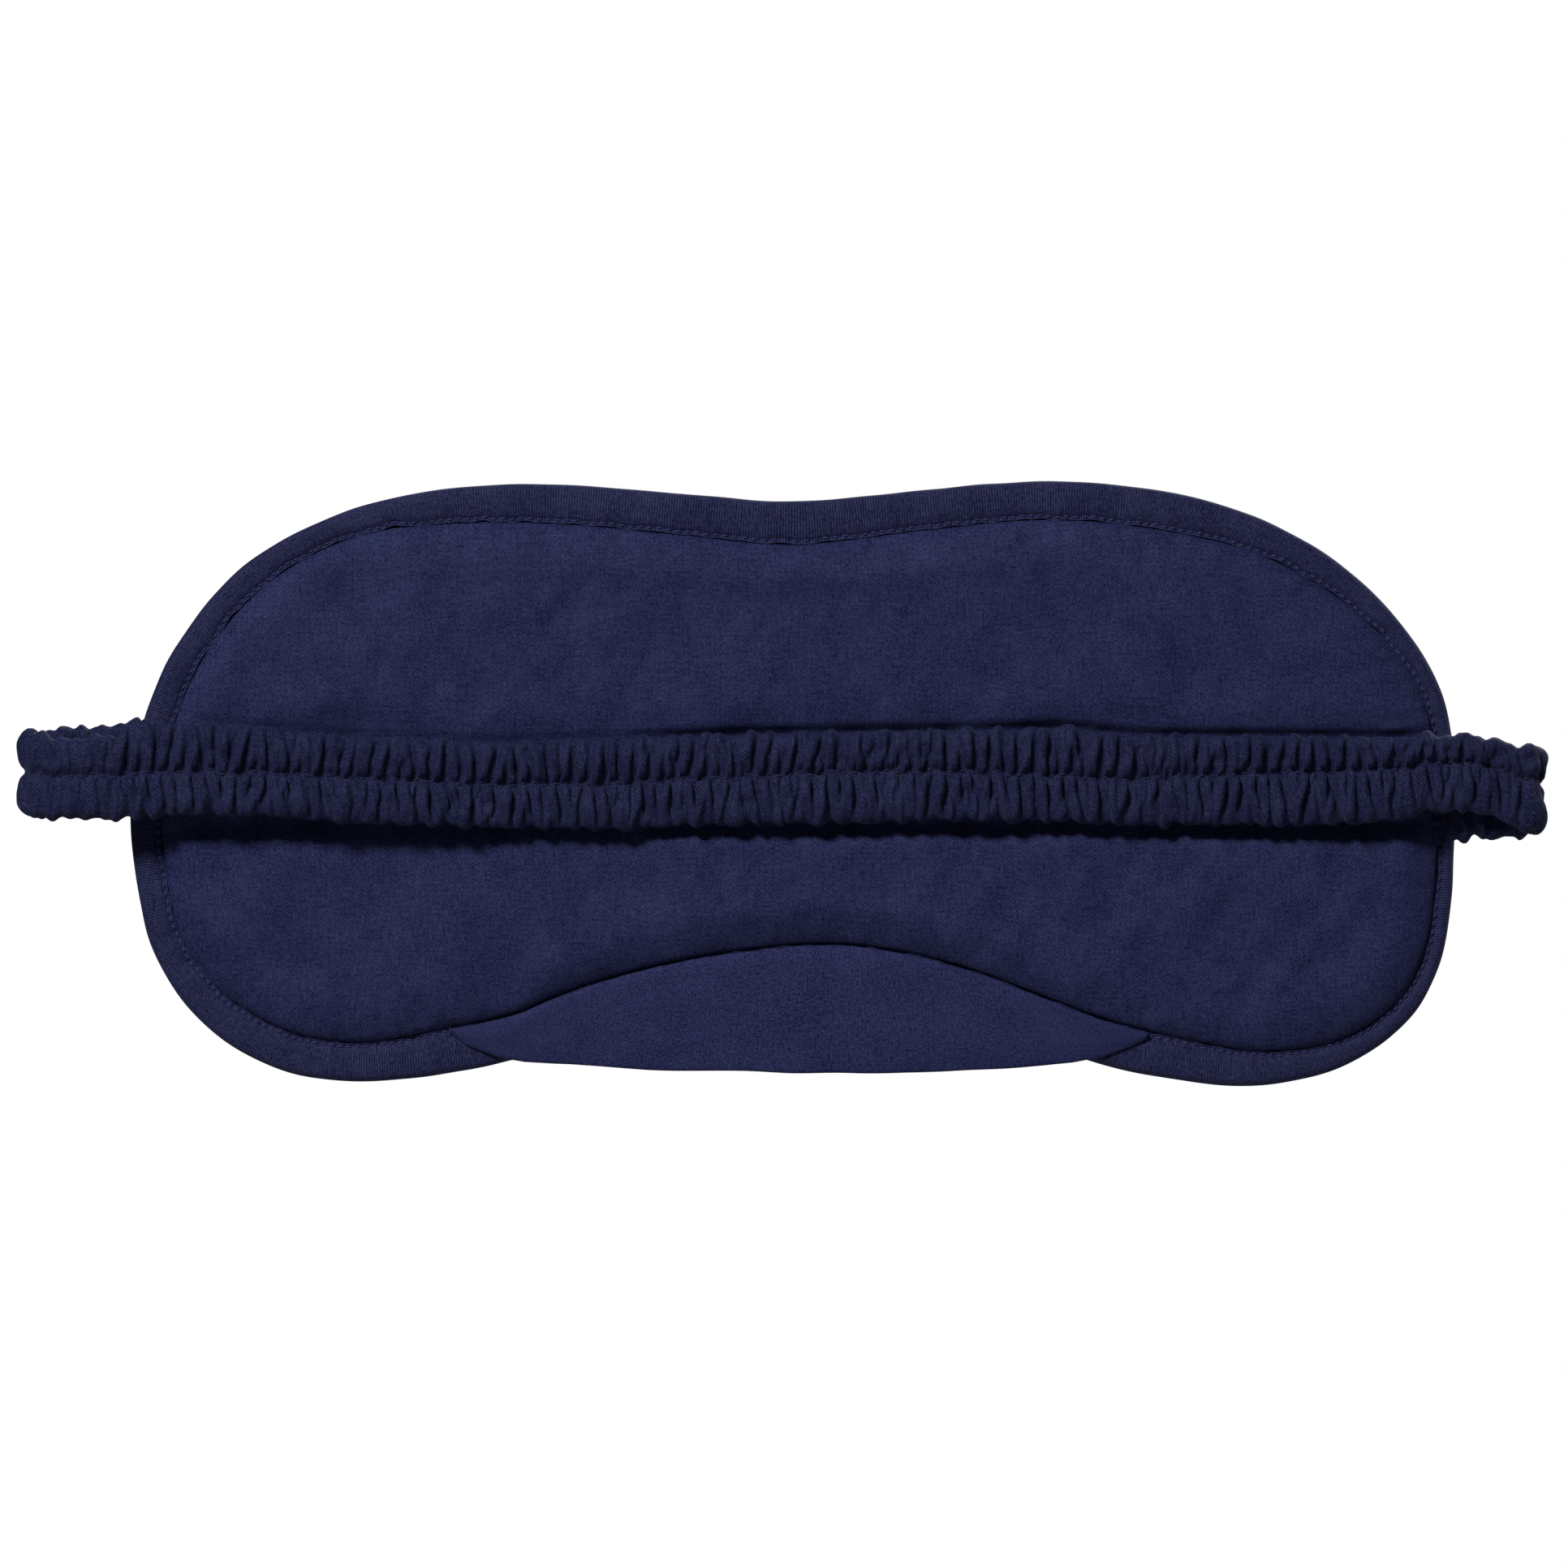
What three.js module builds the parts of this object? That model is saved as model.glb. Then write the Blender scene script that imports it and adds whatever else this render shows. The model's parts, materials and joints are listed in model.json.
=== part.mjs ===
// Sleep eye mask with a gathered elastic strap and a light-blocking nose flap.
//
// Frame: the mask stands upright as it is worn. +X runs to the right seen from the face side, +Z is up,
// and +Y points out of the front panel, away from the wearer's face. The origin is the middle of the front
// panel's flat outer face, so every layer of the mask lies at y <= 0 and the strap is the furthest out.

import * as THREE from 'three';

// ---------------------------------------------------------------- driving dimensions, in millimetres

// The mask's outer edge, clockwise from the dip at the top, as [x, z, width of the edge binding there].
const OUTLINE = [
  [0, 44.9, 6.8], [20, 46.6, 6.3], [40, 48.1, 6.1], [60, 46.3, 6.1], [78, 40.5, 5.2],
  [93.4, 29.2, 4.0], [102.4, 16.3, 3.2], [105, 5, 2.8], [105, -12, 2.6], [103.4, -26.4, 2.8],
  [98.6, -36.6, 3.2], [88, -44.6, 4.2], [74, -47.9, 5.5], [61.1, -47, 6.6], [48.2, -44.3, 6.9],
  [35.6, -39.2, 6.5], [22.8, -34.7, 6.5], [8.5, -32.1, 6.5], [-2.8, -32.5, 6.5], [-19.3, -35.1, 6.5],
  [-32.9, -39, 6.5], [-42, -43.1, 6.9], [-55, -46, 7], [-67.9, -47.2, 6.2], [-80.8, -45.6, 6.2],
  [-93.7, -38, 5.8], [-101.5, -26.4, 5], [-104.8, -10.9, 4.9], [-104.8, 2, 4.9], [-102.3, 12.3, 4.8],
  [-96.7, 23.9, 4.7], [-86, 35.5, 4.5], [-71, 43.3, 4.3], [-52.3, 47.2, 5.7], [-36, 47.5, 6.2],
  [-16.3, 46, 6.5],
];
const OUTLINE_STATIONS = 84;

// Distances below the front face, counted towards the wearer's face.
const FRONT_PANEL_THICKNESS = 0.5;
const INTERLINING_THICKNESS = 0.3;
const LINING_THICKNESS = 0.4;
const BINDING_THICKNESS = 0.5;
const LAYER_GAP = 0.1;
const SEAM_DEPTH = 0.3;
const SEAM_THICKNESS = 2.5;
const LINING_CROWN_DEPTH = 5.6;
const PUFF_LENGTH = 7.2;
const PANEL_INSET = 1.2;
const SEAM_MARGIN = 0.7;
const EDGE_ROUNDING = 0.35;
// Distances in from the seam at which the lining's swell is drawn.
const SWELL_STEPS = [0, 0.35, 1.2, 2.8, 4.8, PUFF_LENGTH];
// The foam's rounded side, as [distance in from the binding, depth].
const FOAM_SIDE = [[3, 2.9], [4, 3.8], [6.5, 4.7], [9, 5]];

const THREAD_SIZE = 0.25;
const THREAD_INSET = 0.8;
const THREAD_GAP = 0.08;
const BOBBIN_GAP = 0.03;

// The nose flap's free lower edge, from the left end of its seam to the right end, as [x, z].
const FLAP_FREE_EDGE = [
  [-56.1, -38.8], [-53.5, -40.5], [-47.4, -42.5], [-42, -43.5], [-29.2, -44.5], [5, -45.4],
  [22.4, -45.2], [35.3, -44.5], [48.1, -43.2], [54.1, -41.2], [58.4, -39.8],
];
const FLAP_THICKNESS = 0.5;
const FLAP_DEPTH = 3.25;
const FLAP_FOLD_GAP = 0.3;
const FLAP_CLIP = 1;
const FLAP_EDGE_POINTS = 24;

// The strap runs from the left seam out to a fold, back across the mask and in to the right seam.
const STRAP_WIDTH = 14.5;
const RUN_THICKNESS = 3.8;
const TAB_THICKNESS = 3;
const COVER_WALL = 0.4;
const WAIST_SHARE = 0.65;
const WAIST_WIDTH = 1.3;
const LOBE_FULLNESS = 0.6;
const ELASTIC_WIDTH = 10;
const ELASTIC_THICKNESS = 0.8;
const SECTION_POINTS = 20;
const FOLD_STATIONS = 7;
const LINK_GAP = 0.8;
const FOLD_GAP = 0.3;
const TAB_DEPTH = 4.9;
const FOLD_RADIUS = 2.5;
const LEFT_SEAM = { x: -99.6, z: 2.9 };
const RIGHT_SEAM = { x: 102.2, z: -1.7 };
const LEFT_FOLD = { x: -119, z: 1.6 };
const RIGHT_FOLD = { x: 116.3, z: 0.2 };
const RUN_HEIGHT = 0.9;
// Where the run bends, as [x, depth of its middle line].
const RUN_BENDS = [[-60, 10.9], [0, 8.4], [60, 10.2]];

const BARTACK_LENGTH = 12;
const BARTACK_WIDTH = 0.5;
const BARTACK_INSET = 0.15;
const BARTACK_THICKNESS = 0.2;
const BARTACK_TEETH = 12;
const BARTACK_NOTCH = 0.25;

// ---------------------------------------------------------------- materials

const cloth = (color, roughness) => new THREE.MeshStandardMaterial({ color, roughness, metalness: 0 });
const FINISH = {
  lining: cloth('#242847', 0.85),
  binding: cloth('#222543', 0.8),
  flap: cloth('#272a4a', 0.85),
  strap: cloth('#1f2340', 0.75),
  thread: cloth('#2b305a', 0.6),
  foam: cloth('#c9c7be', 0.95),
  blackout: cloth('#101014', 0.9),
  elastic: cloth('#1b1c22', 0.8),
};

// ---------------------------------------------------------------- closed bodies

// Turns points and triangles into a geometry whose faces point out of the body.
function closedBody(points, triangles) {
  const cross = new THREE.Vector3();
  let volume = 0;
  for (const [a, b, c] of triangles) {
    volume += points[a].dot(cross.crossVectors(points[b], points[c]));
  }
  const facing = volume < 0 ? triangles.map(([a, b, c]) => [a, c, b]) : triangles;
  const geometry = new THREE.BufferGeometry().setFromPoints(points);
  geometry.setIndex(facing.flat());
  geometry.computeVertexNormals();
  return geometry;
}

// Fills a flat ring with triangles that run round it the same way as the ring, or the other way.
function cap(ring, firstIndex, sameWay) {
  const spread = new THREE.Box3().setFromPoints(ring).getSize(new THREE.Vector3());
  const axes = ['x', 'y', 'z'].sort((one, other) => spread[other] - spread[one]);
  const flat = ring.map((point) => new THREE.Vector2(point[axes[0]], point[axes[1]]));
  const ringTurn = Math.sign(THREE.ShapeUtils.area(flat));
  return THREE.ShapeUtils.triangulateShape(flat, []).map(([a, b, c]) => {
    const turn = Math.sign(THREE.ShapeUtils.area([flat[a], flat[b], flat[c]]));
    const ordered = (turn === ringTurn) === sameWay ? [a, b, c] : [a, c, b];
    return ordered.map((index) => index + firstIndex);
  });
}

// Joins matching rings of points. An endless loft joins its last ring to its first, and any other is capped.
function loft(rings, endless = false) {
  const size = rings[0].length;
  const bands = endless ? rings.length : rings.length - 1;
  const triangles = [];
  for (let band = 0; band < bands; band += 1) {
    const here = band * size;
    const next = ((band + 1) % rings.length) * size;
    for (let i = 0; i < size; i += 1) {
      const j = (i + 1) % size;
      triangles.push([here + i, here + j, next + j]);
      triangles.push([here + i, next + j, next + i]);
    }
  }
  if (!endless) {
    triangles.push(...cap(rings[0], 0, false));
    triangles.push(...cap(rings[rings.length - 1], (rings.length - 1) * size, true));
  }
  return closedBody(rings.flat(), triangles);
}

function piece(name, geometry, material) {
  const mesh = new THREE.Mesh(geometry, material);
  mesh.name = name;
  return mesh;
}

// ---------------------------------------------------------------- the mask's outline

// Evenly spaced stations round the mask, each with its place, its inward direction and its binding width.
function outlineStations() {
  const corners = OUTLINE.map(([x, z, width]) => new THREE.Vector3(x, z, width));
  const curve = new THREE.CatmullRomCurve3(corners, true, 'centripetal');
  const spots = curve.getSpacedPoints(OUTLINE_STATIONS).slice(0, OUTLINE_STATIONS);
  return spots.map((spot, i) => {
    const before = spots[(i + OUTLINE_STATIONS - 1) % OUTLINE_STATIONS];
    const after = spots[(i + 1) % OUTLINE_STATIONS];
    const along = new THREE.Vector2(after.x - before.x, after.y - before.y).normalize();
    return { x: spot.x, z: spot.y, inX: along.y, inZ: -along.x, binding: spot.z };
  });
}

const STATIONS = outlineStations();

// A ring of points that lies a number of binding widths, plus an extra distance, in from the outer edge.
function ring(bindingWidths, extra, depth) {
  return STATIONS.map((station) => {
    const inset = bindingWidths * station.binding + extra;
    return new THREE.Vector3(station.x + station.inX * inset, -depth, station.z + station.inZ * inset);
  });
}

// ---------------------------------------------------------------- layers of the mask

// The layers are pressed together under the binding and spread apart inside it.
const FRONT_SEAM_DEPTH = SEAM_DEPTH + BINDING_THICKNESS + LAYER_GAP;
const FRONT_SEAM_THICKNESS = 0.4;
const FIELD_MARGIN = 2.2;

// A sheet that lies flat in the middle of the mask and steps back to a thinner edge inside the seam.
function steppedSheet(fieldDepth, fieldThickness, seamDepth, seamThickness) {
  return loft([
    ring(1, FIELD_MARGIN, fieldDepth),
    ring(1, SEAM_MARGIN, seamDepth),
    ring(0, PANEL_INSET, seamDepth),
    ring(0, PANEL_INSET, seamDepth + seamThickness),
    ring(1, SEAM_MARGIN, seamDepth + seamThickness),
    ring(1, FIELD_MARGIN, fieldDepth + fieldThickness),
  ]);
}

const INTERLINING_SEAM_DEPTH = FRONT_SEAM_DEPTH + FRONT_SEAM_THICKNESS + LAYER_GAP;
const INTERLINING_FIELD_DEPTH = FRONT_PANEL_THICKNESS + LAYER_GAP;
const LINING_SEAM_DEPTH = INTERLINING_SEAM_DEPTH + INTERLINING_THICKNESS + LAYER_GAP;
const LINING_EDGE_DEPTH = LINING_SEAM_DEPTH + LINING_THICKNESS;
const FOAM_FRONT_DEPTH = INTERLINING_FIELD_DEPTH + INTERLINING_THICKNESS + LAYER_GAP;

// How deep the lining's outer face lies at a distance in from the seam: a quarter ellipse, then flat.
function liningDepth(distance) {
  const left = 1 - Math.min(distance / PUFF_LENGTH, 1);
  return LINING_EDGE_DEPTH + (LINING_CROWN_DEPTH - LINING_EDGE_DEPTH) * Math.sqrt(1 - left * left);
}

// The padded lining: its outer face swells out from the seam, and its inner face follows it.
function paddedLining() {
  const outer = SWELL_STEPS.map((distance) => ring(1, SEAM_MARGIN + distance, liningDepth(distance)));
  const inner = SWELL_STEPS.map((distance) => {
    const depth = liningDepth(distance) - LINING_THICKNESS;
    return ring(1, SEAM_MARGIN + distance + LINING_THICKNESS, depth);
  });
  return loft([
    ...outer.reverse(),
    ring(0, PANEL_INSET, LINING_EDGE_DEPTH),
    ring(0, PANEL_INSET, LINING_SEAM_DEPTH),
    ...inner,
  ]);
}

function foamPad() {
  const side = FOAM_SIDE.map(([margin, depth]) => ring(1, margin, depth));
  return loft([ring(1, FOAM_SIDE[0][0], FOAM_FRONT_DEPTH), ...side]);
}

// ---------------------------------------------------------------- edge binding and its seam

// The binding is a strip folded round the raw edges: two legs joined by a rounded outer edge.
function edgeBinding() {
  const front = SEAM_DEPTH;
  const back = SEAM_DEPTH + SEAM_THICKNESS;
  const middle = (front + back) / 2;
  const wall = BINDING_THICKNESS;
  return loft([
    ring(1, 0, front),
    ring(0, PANEL_INSET, front),
    ring(0, EDGE_ROUNDING, front + EDGE_ROUNDING),
    ring(0, 0, middle),
    ring(0, EDGE_ROUNDING, back - EDGE_ROUNDING),
    ring(0, PANEL_INSET, back),
    ring(1, 0, back),
    ring(1, 0, back - wall),
    ring(0, PANEL_INSET, back - wall),
    ring(0, wall, middle),
    ring(0, PANEL_INSET, front + wall),
    ring(1, 0, front + wall),
  ], true);
}

// One thread of the binding seam, lying along the binding's inner edge.
function bindingThread(depth) {
  return loft([
    ring(1, -THREAD_INSET, depth),
    ring(1, -THREAD_INSET - THREAD_SIZE, depth),
    ring(1, -THREAD_INSET - THREAD_SIZE, depth + THREAD_SIZE),
    ring(1, -THREAD_INSET, depth + THREAD_SIZE),
  ], true);
}

const FACE_DEPTH = SEAM_DEPTH + SEAM_THICKNESS;

function maskLayers() {
  return [
    piece('front_panel', steppedSheet(0, FRONT_PANEL_THICKNESS, FRONT_SEAM_DEPTH, FRONT_SEAM_THICKNESS),
      FINISH.lining),
    piece('blackout_interlining', steppedSheet(INTERLINING_FIELD_DEPTH, INTERLINING_THICKNESS,
      INTERLINING_SEAM_DEPTH, INTERLINING_THICKNESS), FINISH.blackout),
    piece('foam_core', foamPad(), FINISH.foam),
    piece('back_lining', paddedLining(), FINISH.lining),
    piece('edge_binding', edgeBinding(), FINISH.binding),
    piece('binding_needle_thread', bindingThread(FACE_DEPTH + THREAD_GAP), FINISH.thread),
    piece('binding_bobbin_thread', bindingThread(SEAM_DEPTH - BOBBIN_GAP - THREAD_SIZE), FINISH.thread),
  ];
}

// ---------------------------------------------------------------- nose flap

// The flap folds along the straight line between the two ends of its seam.
function flapFoldHeight(x) {
  const [startX, startZ] = FLAP_FREE_EDGE[0];
  const [endX, endZ] = FLAP_FREE_EDGE[FLAP_FREE_EDGE.length - 1];
  return startZ + ((endZ - startZ) * (x - startX)) / (endX - startX);
}

// A flat piece of the flap between a curved edge and the fold line. Side is +1 above the fold, -1 below.
function flapPart(edge, side) {
  const clear = edge.filter((point) => side * (point.z - flapFoldHeight(point.x)) > FLAP_CLIP);
  const fold = [clear[clear.length - 1], clear[0]].map((end) => {
    return { x: end.x, z: flapFoldHeight(end.x) + side * FLAP_FOLD_GAP };
  });
  const outline = [...clear, ...fold];
  const sheet = (depth) => outline.map((point) => new THREE.Vector3(point.x, -depth, point.z));
  return loft([sheet(FLAP_DEPTH), sheet(FLAP_DEPTH + FLAP_THICKNESS)]);
}

function noseFlap() {
  const leftEnd = FLAP_FREE_EDGE[0][0];
  const rightEnd = FLAP_FREE_EDGE[FLAP_FREE_EDGE.length - 1][0];
  const underFlap = (point) => point.z < 0 && point.x > leftEnd && point.x < rightEnd;
  const seamEdge = ring(1, SEAM_MARGIN / 2, 0).filter(underFlap);
  const corners = FLAP_FREE_EDGE.map(([x, z]) => new THREE.Vector3(x, 0, z));
  const freeEdge = new THREE.CatmullRomCurve3(corners, false, 'centripetal').getSpacedPoints(FLAP_EDGE_POINTS);
  return [
    piece('nose_flap_upper', flapPart(seamEdge, 1), FINISH.flap),
    piece('nose_flap_free_edge', flapPart(freeEdge, -1), FINISH.flap),
  ];
}

// ---------------------------------------------------------------- strap

// A station on the strap's middle line: its place, the way its flat side faces, and its thickness.
function strapStation(x, depth, z, faceX, faceY, thickness) {
  return { place: new THREE.Vector3(x, -depth, z), face: new THREE.Vector3(faceX, faceY, 0), thickness };
}

// Stations for a straight length between two spots, stopping short of each.
function straightStations(from, to, startGap, endGap, thickness) {
  const along = new THREE.Vector2(to.x - from.x, from.depth - to.depth);
  const length = along.length();
  along.normalize();
  return [startGap / length, 1 - endGap / length].map((share) => {
    const x = THREE.MathUtils.lerp(from.x, to.x, share);
    const depth = THREE.MathUtils.lerp(from.depth, to.depth, share);
    const z = THREE.MathUtils.lerp(from.z, to.z, share);
    return strapStation(x, depth, z, along.y, -along.x, thickness);
  });
}

// Stations round the half turn from a tab to the run. Side is -1 at the left fold, +1 at the right.
function foldStations(fold, side) {
  const centreDepth = TAB_DEPTH + FOLD_RADIUS;
  const trim = FOLD_GAP / FOLD_RADIUS;
  const stations = [];
  for (let i = 0; i < FOLD_STATIONS; i += 1) {
    const share = i / (FOLD_STATIONS - 1);
    const turn = trim + share * (Math.PI - 2 * trim);
    const outX = side * Math.sin(turn);
    const outY = Math.cos(turn);
    const x = fold.x + FOLD_RADIUS * outX;
    const depth = centreDepth - FOLD_RADIUS * outY;
    const z = THREE.MathUtils.lerp(fold.z, RUN_HEIGHT, share);
    const thickness = THREE.MathUtils.lerp(TAB_THICKNESS, RUN_THICKNESS, share);
    stations.push(strapStation(x, depth, z, outX, outY, thickness));
  }
  return stations;
}

// A cross-section: each entry is [distance across the strap, distance out of its middle line].
function section(station, profile) {
  return profile.map(([across, out]) => {
    const spot = station.place.clone().addScaledVector(station.face, out);
    spot.z += across;
    return spot;
  });
}

// The tube's section has two lobes and a waist where the centre stitch draws it in.
function tubeProfile(thickness, wall) {
  const profile = [];
  for (let i = 0; i < SECTION_POINTS; i += 1) {
    const turn = (i / SECTION_POINTS) * 2 * Math.PI;
    const across = (STRAP_WIDTH / 2 - wall) * Math.cos(turn);
    const waist = 1 - (1 - WAIST_SHARE) * Math.exp(-((across / WAIST_WIDTH) ** 2));
    const lobe = Math.sign(Math.sin(turn)) * Math.abs(Math.sin(turn)) ** LOBE_FULLNESS;
    profile.push([across, ((thickness / 2) * waist - wall) * lobe]);
  }
  return profile;
}

function boxProfile(width, thickness, out = 0) {
  const half = width / 2;
  return [
    [-half, out - thickness / 2], [half, out - thickness / 2],
    [half, out + thickness / 2], [-half, out + thickness / 2],
  ];
}

function strapCover(stations) {
  const outer = stations.map((station) => section(station, tubeProfile(station.thickness, 0)));
  const inner = stations.map((station) => section(station, tubeProfile(station.thickness, COVER_WALL)));
  return loft([...outer, ...inner.reverse()], true);
}

function strapElastic(stations) {
  return loft(stations.map((station) => section(station, boxProfile(ELASTIC_WIDTH, ELASTIC_THICKNESS))));
}

// The centre stitch lies in the waist of the tube, on the side the strap's stations face.
function strapStitch(stations) {
  return loft(stations.map((station) => {
    const out = (station.thickness / 2) * WAIST_SHARE + THREAD_SIZE;
    return section(station, boxProfile(THREAD_SIZE, THREAD_SIZE, out));
  }));
}

function strapLengths() {
  const spot = (x, depth, z) => ({ x, depth, z });
  const runDepth = TAB_DEPTH + 2 * FOLD_RADIUS;
  const leftSeam = spot(LEFT_SEAM.x, TAB_DEPTH, LEFT_SEAM.z);
  const rightSeam = spot(RIGHT_SEAM.x, TAB_DEPTH, RIGHT_SEAM.z);
  const leftFold = spot(LEFT_FOLD.x, TAB_DEPTH, LEFT_FOLD.z);
  const rightFold = spot(RIGHT_FOLD.x, TAB_DEPTH, RIGHT_FOLD.z);
  const run = [
    spot(LEFT_FOLD.x, runDepth, RUN_HEIGHT),
    ...RUN_BENDS.map(([x, depth]) => spot(x, depth, RUN_HEIGHT)),
    spot(RIGHT_FOLD.x, runDepth, RUN_HEIGHT),
  ];
  const lengths = [
    { name: 'tab_left', stations: straightStations(leftSeam, leftFold, LINK_GAP, 0, TAB_THICKNESS) },
    { name: 'tab_right', stations: straightStations(rightFold, rightSeam, 0, LINK_GAP, TAB_THICKNESS) },
  ];
  for (let i = 0; i + 1 < run.length; i += 1) {
    const startGap = i === 0 ? 0 : LINK_GAP;
    const endGap = i + 2 === run.length ? 0 : LINK_GAP;
    const stations = straightStations(run[i], run[i + 1], startGap, endGap, RUN_THICKNESS);
    lengths.push({ name: `run_${i + 1}`, stations });
  }
  return lengths;
}

function strap() {
  const pieces = [];
  for (const { name, stations } of strapLengths()) {
    pieces.push(piece(`strap_cover_${name}`, strapCover(stations), FINISH.strap));
    pieces.push(piece(`strap_elastic_${name}`, strapElastic(stations), FINISH.elastic));
    pieces.push(piece(`strap_stitch_${name}`, strapStitch(stations), FINISH.thread));
  }
  const folds = [['left', LEFT_FOLD, -1], ['right', RIGHT_FOLD, 1]];
  for (const [name, fold, side] of folds) {
    const stations = foldStations(fold, side);
    pieces.push(piece(`strap_cover_fold_${name}`, strapCover(stations), FINISH.strap));
    pieces.push(piece(`strap_elastic_fold_${name}`, strapElastic(stations), FINISH.elastic));
  }
  return pieces;
}

// ---------------------------------------------------------------- bartacks at the strap's sewn ends

// The point at a given height on a ring, on the mask's left side (-1) or right side (+1).
function pointAtHeight(points, z, side) {
  for (let i = 0; i < points.length; i += 1) {
    const start = points[i];
    const end = points[(i + 1) % points.length];
    const crosses = (start.z > z) !== (end.z > z);
    if (crosses && side * start.x > 0) {
      return start.clone().lerp(end, (z - start.z) / (end.z - start.z));
    }
  }
  throw new Error(`the ring has no point at height ${z}`);
}

// A zigzag of close stitches along the binding's inner edge, where the strap's end is caught in the seam.
function bartack(side, centreZ) {
  const notch = BARTACK_NOTCH * BARTACK_WIDTH;
  const long = [BARTACK_INSET + BARTACK_WIDTH, BARTACK_INSET];
  const short = [long[0] - notch, long[1] + notch];
  const edges = [[], []];
  for (let i = 0; i <= BARTACK_TEETH; i += 1) {
    const z = centreZ + (i / BARTACK_TEETH - 0.5) * BARTACK_LENGTH;
    const insets = i % 2 === 0 ? long : short;
    insets.forEach((inset, which) => edges[which].push(pointAtHeight(ring(1, -inset, 0), z, side)));
  }
  const outline = [...edges[0], ...edges[1].reverse()];
  const layer = (depth) => outline.map((point) => new THREE.Vector3(point.x, -depth, point.z));
  const faceDepth = FACE_DEPTH + THREAD_GAP;
  return loft([layer(faceDepth), layer(faceDepth + BARTACK_THICKNESS)]);
}

function bartacks() {
  return [
    piece('strap_bartack_left', bartack(-1, LEFT_SEAM.z), FINISH.thread),
    piece('strap_bartack_right', bartack(1, RIGHT_SEAM.z), FINISH.thread),
  ];
}

// ---------------------------------------------------------------- the whole mask

const mask = new THREE.Group();
mask.name = 'sleep_eye_mask';
mask.add(...maskLayers(), ...noseFlap(), ...bartacks(), ...strap());

export default mask;
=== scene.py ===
import json
import math

import bpy
import numpy as np
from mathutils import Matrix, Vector
from mathutils.geometry import delaunay_2d_cdt
from mathutils.kdtree import KDTree


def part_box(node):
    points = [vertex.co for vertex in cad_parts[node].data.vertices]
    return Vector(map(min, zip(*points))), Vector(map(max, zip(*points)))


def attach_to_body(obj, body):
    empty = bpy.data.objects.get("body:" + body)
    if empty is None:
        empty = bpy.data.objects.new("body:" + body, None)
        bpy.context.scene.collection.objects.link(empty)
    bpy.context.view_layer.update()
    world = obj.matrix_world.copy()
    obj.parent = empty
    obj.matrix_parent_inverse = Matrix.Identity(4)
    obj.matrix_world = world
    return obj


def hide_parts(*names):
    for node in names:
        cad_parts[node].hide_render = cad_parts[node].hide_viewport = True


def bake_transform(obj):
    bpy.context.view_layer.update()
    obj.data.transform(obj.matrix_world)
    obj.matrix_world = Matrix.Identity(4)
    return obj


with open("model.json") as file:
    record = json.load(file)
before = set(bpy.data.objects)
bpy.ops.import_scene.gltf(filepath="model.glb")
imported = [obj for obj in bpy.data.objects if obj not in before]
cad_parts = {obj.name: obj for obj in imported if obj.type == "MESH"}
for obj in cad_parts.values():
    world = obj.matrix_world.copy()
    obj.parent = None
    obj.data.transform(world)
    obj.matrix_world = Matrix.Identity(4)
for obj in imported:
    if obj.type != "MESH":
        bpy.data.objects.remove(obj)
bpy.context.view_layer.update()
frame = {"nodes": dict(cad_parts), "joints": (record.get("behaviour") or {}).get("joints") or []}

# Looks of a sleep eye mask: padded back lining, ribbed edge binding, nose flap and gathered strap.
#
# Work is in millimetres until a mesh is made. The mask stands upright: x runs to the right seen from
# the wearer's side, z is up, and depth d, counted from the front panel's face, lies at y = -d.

MM = 0.001
TAU = 2 * math.pi

# ------------ sizes, in millimetres

# Edge binding: depths of its two faces and its middle, and its sewing.
SEAM_FRONT_DEPTH = 0.3
SEAM_BACK_DEPTH = 2.8
SEAM_MIDDLE_DEPTH = 1.55
BINDING_WALL = 0.5
BINDING_INNER_EDGE = 1.0
BINDING_SPACING = 0.25
BINDING_REPEAT = 0.46
THREAD_INSET = 1.05
SEW_INSET = 0.55
STITCH_PITCH = 1.5
STITCH_LENGTH = 1.0
STITCH_RADIUS = 0.14

# Layers: a fine mesh for the two faces, a coarse one for the hidden layers.
LAYER_SPACING = 0.5
LAYER_GRID = 0.65
HIDDEN_SPACING = 2.0
HIDDEN_GRID = 4.0
LINING_EDGE_DEPTH = 2.2
LINING_CROWN_DEPTH = 5.5
LINING_THICKNESS = 0.4
PANEL_THICKNESS = 0.4
PANEL_EDGE_DEPTH = 0.9
BLACKOUT_THICKNESS = 0.3
PUFF_LENGTH = 7.0
PANEL_INSET = 1.2

# Cloth simulation of the lining: its mesh, its frames, its spare length as a share, and its largest move.
CLOTH_SPACING = 1.0
CLOTH_GRID = 1.5
CLOTH_FRAMES = 20
CLOTH_SLACK = 0.008
CLOTH_REACH = 0.9

FLAP_TOP_DEPTH = 3.3
FLAP_THICKNESS = 0.8
FLAP_COLUMN = 0.5
FLAP_ROWS = 36

# Strap: a lobe is the cloth on one side of the centre stitch, round its edge and back on the other face.
STRAP_STEP = 0.23
LOBE_ROWS = 38
LOBE_REFERENCE = 7.0
LOBE_HALF_THICKNESS = 0.95
WAIST_HALF_THICKNESS = 0.7
EDGE_ROUND = 2.0
STITCH_GROOVE = 0.12
PLEAT_REACH = 0.55
FOLD_RADIUS = 2.5
LEFT_FOLD_IN = 0.8
RIGHT_FOLD_IN = 1.2
TAB_DEPTH = 4.9
SEAM_TUCK_DEPTH = 3.4
ELASTIC_WIDTH = 9
ELASTIC_THICKNESS = 0.7
ELASTIC_GIRTH = 20
CENTRE_STITCH_PITCH = 1.7
CENTRE_STITCH_LENGTH = 1.25
CENTRE_STITCH_RADIUS = 0.13

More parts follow.
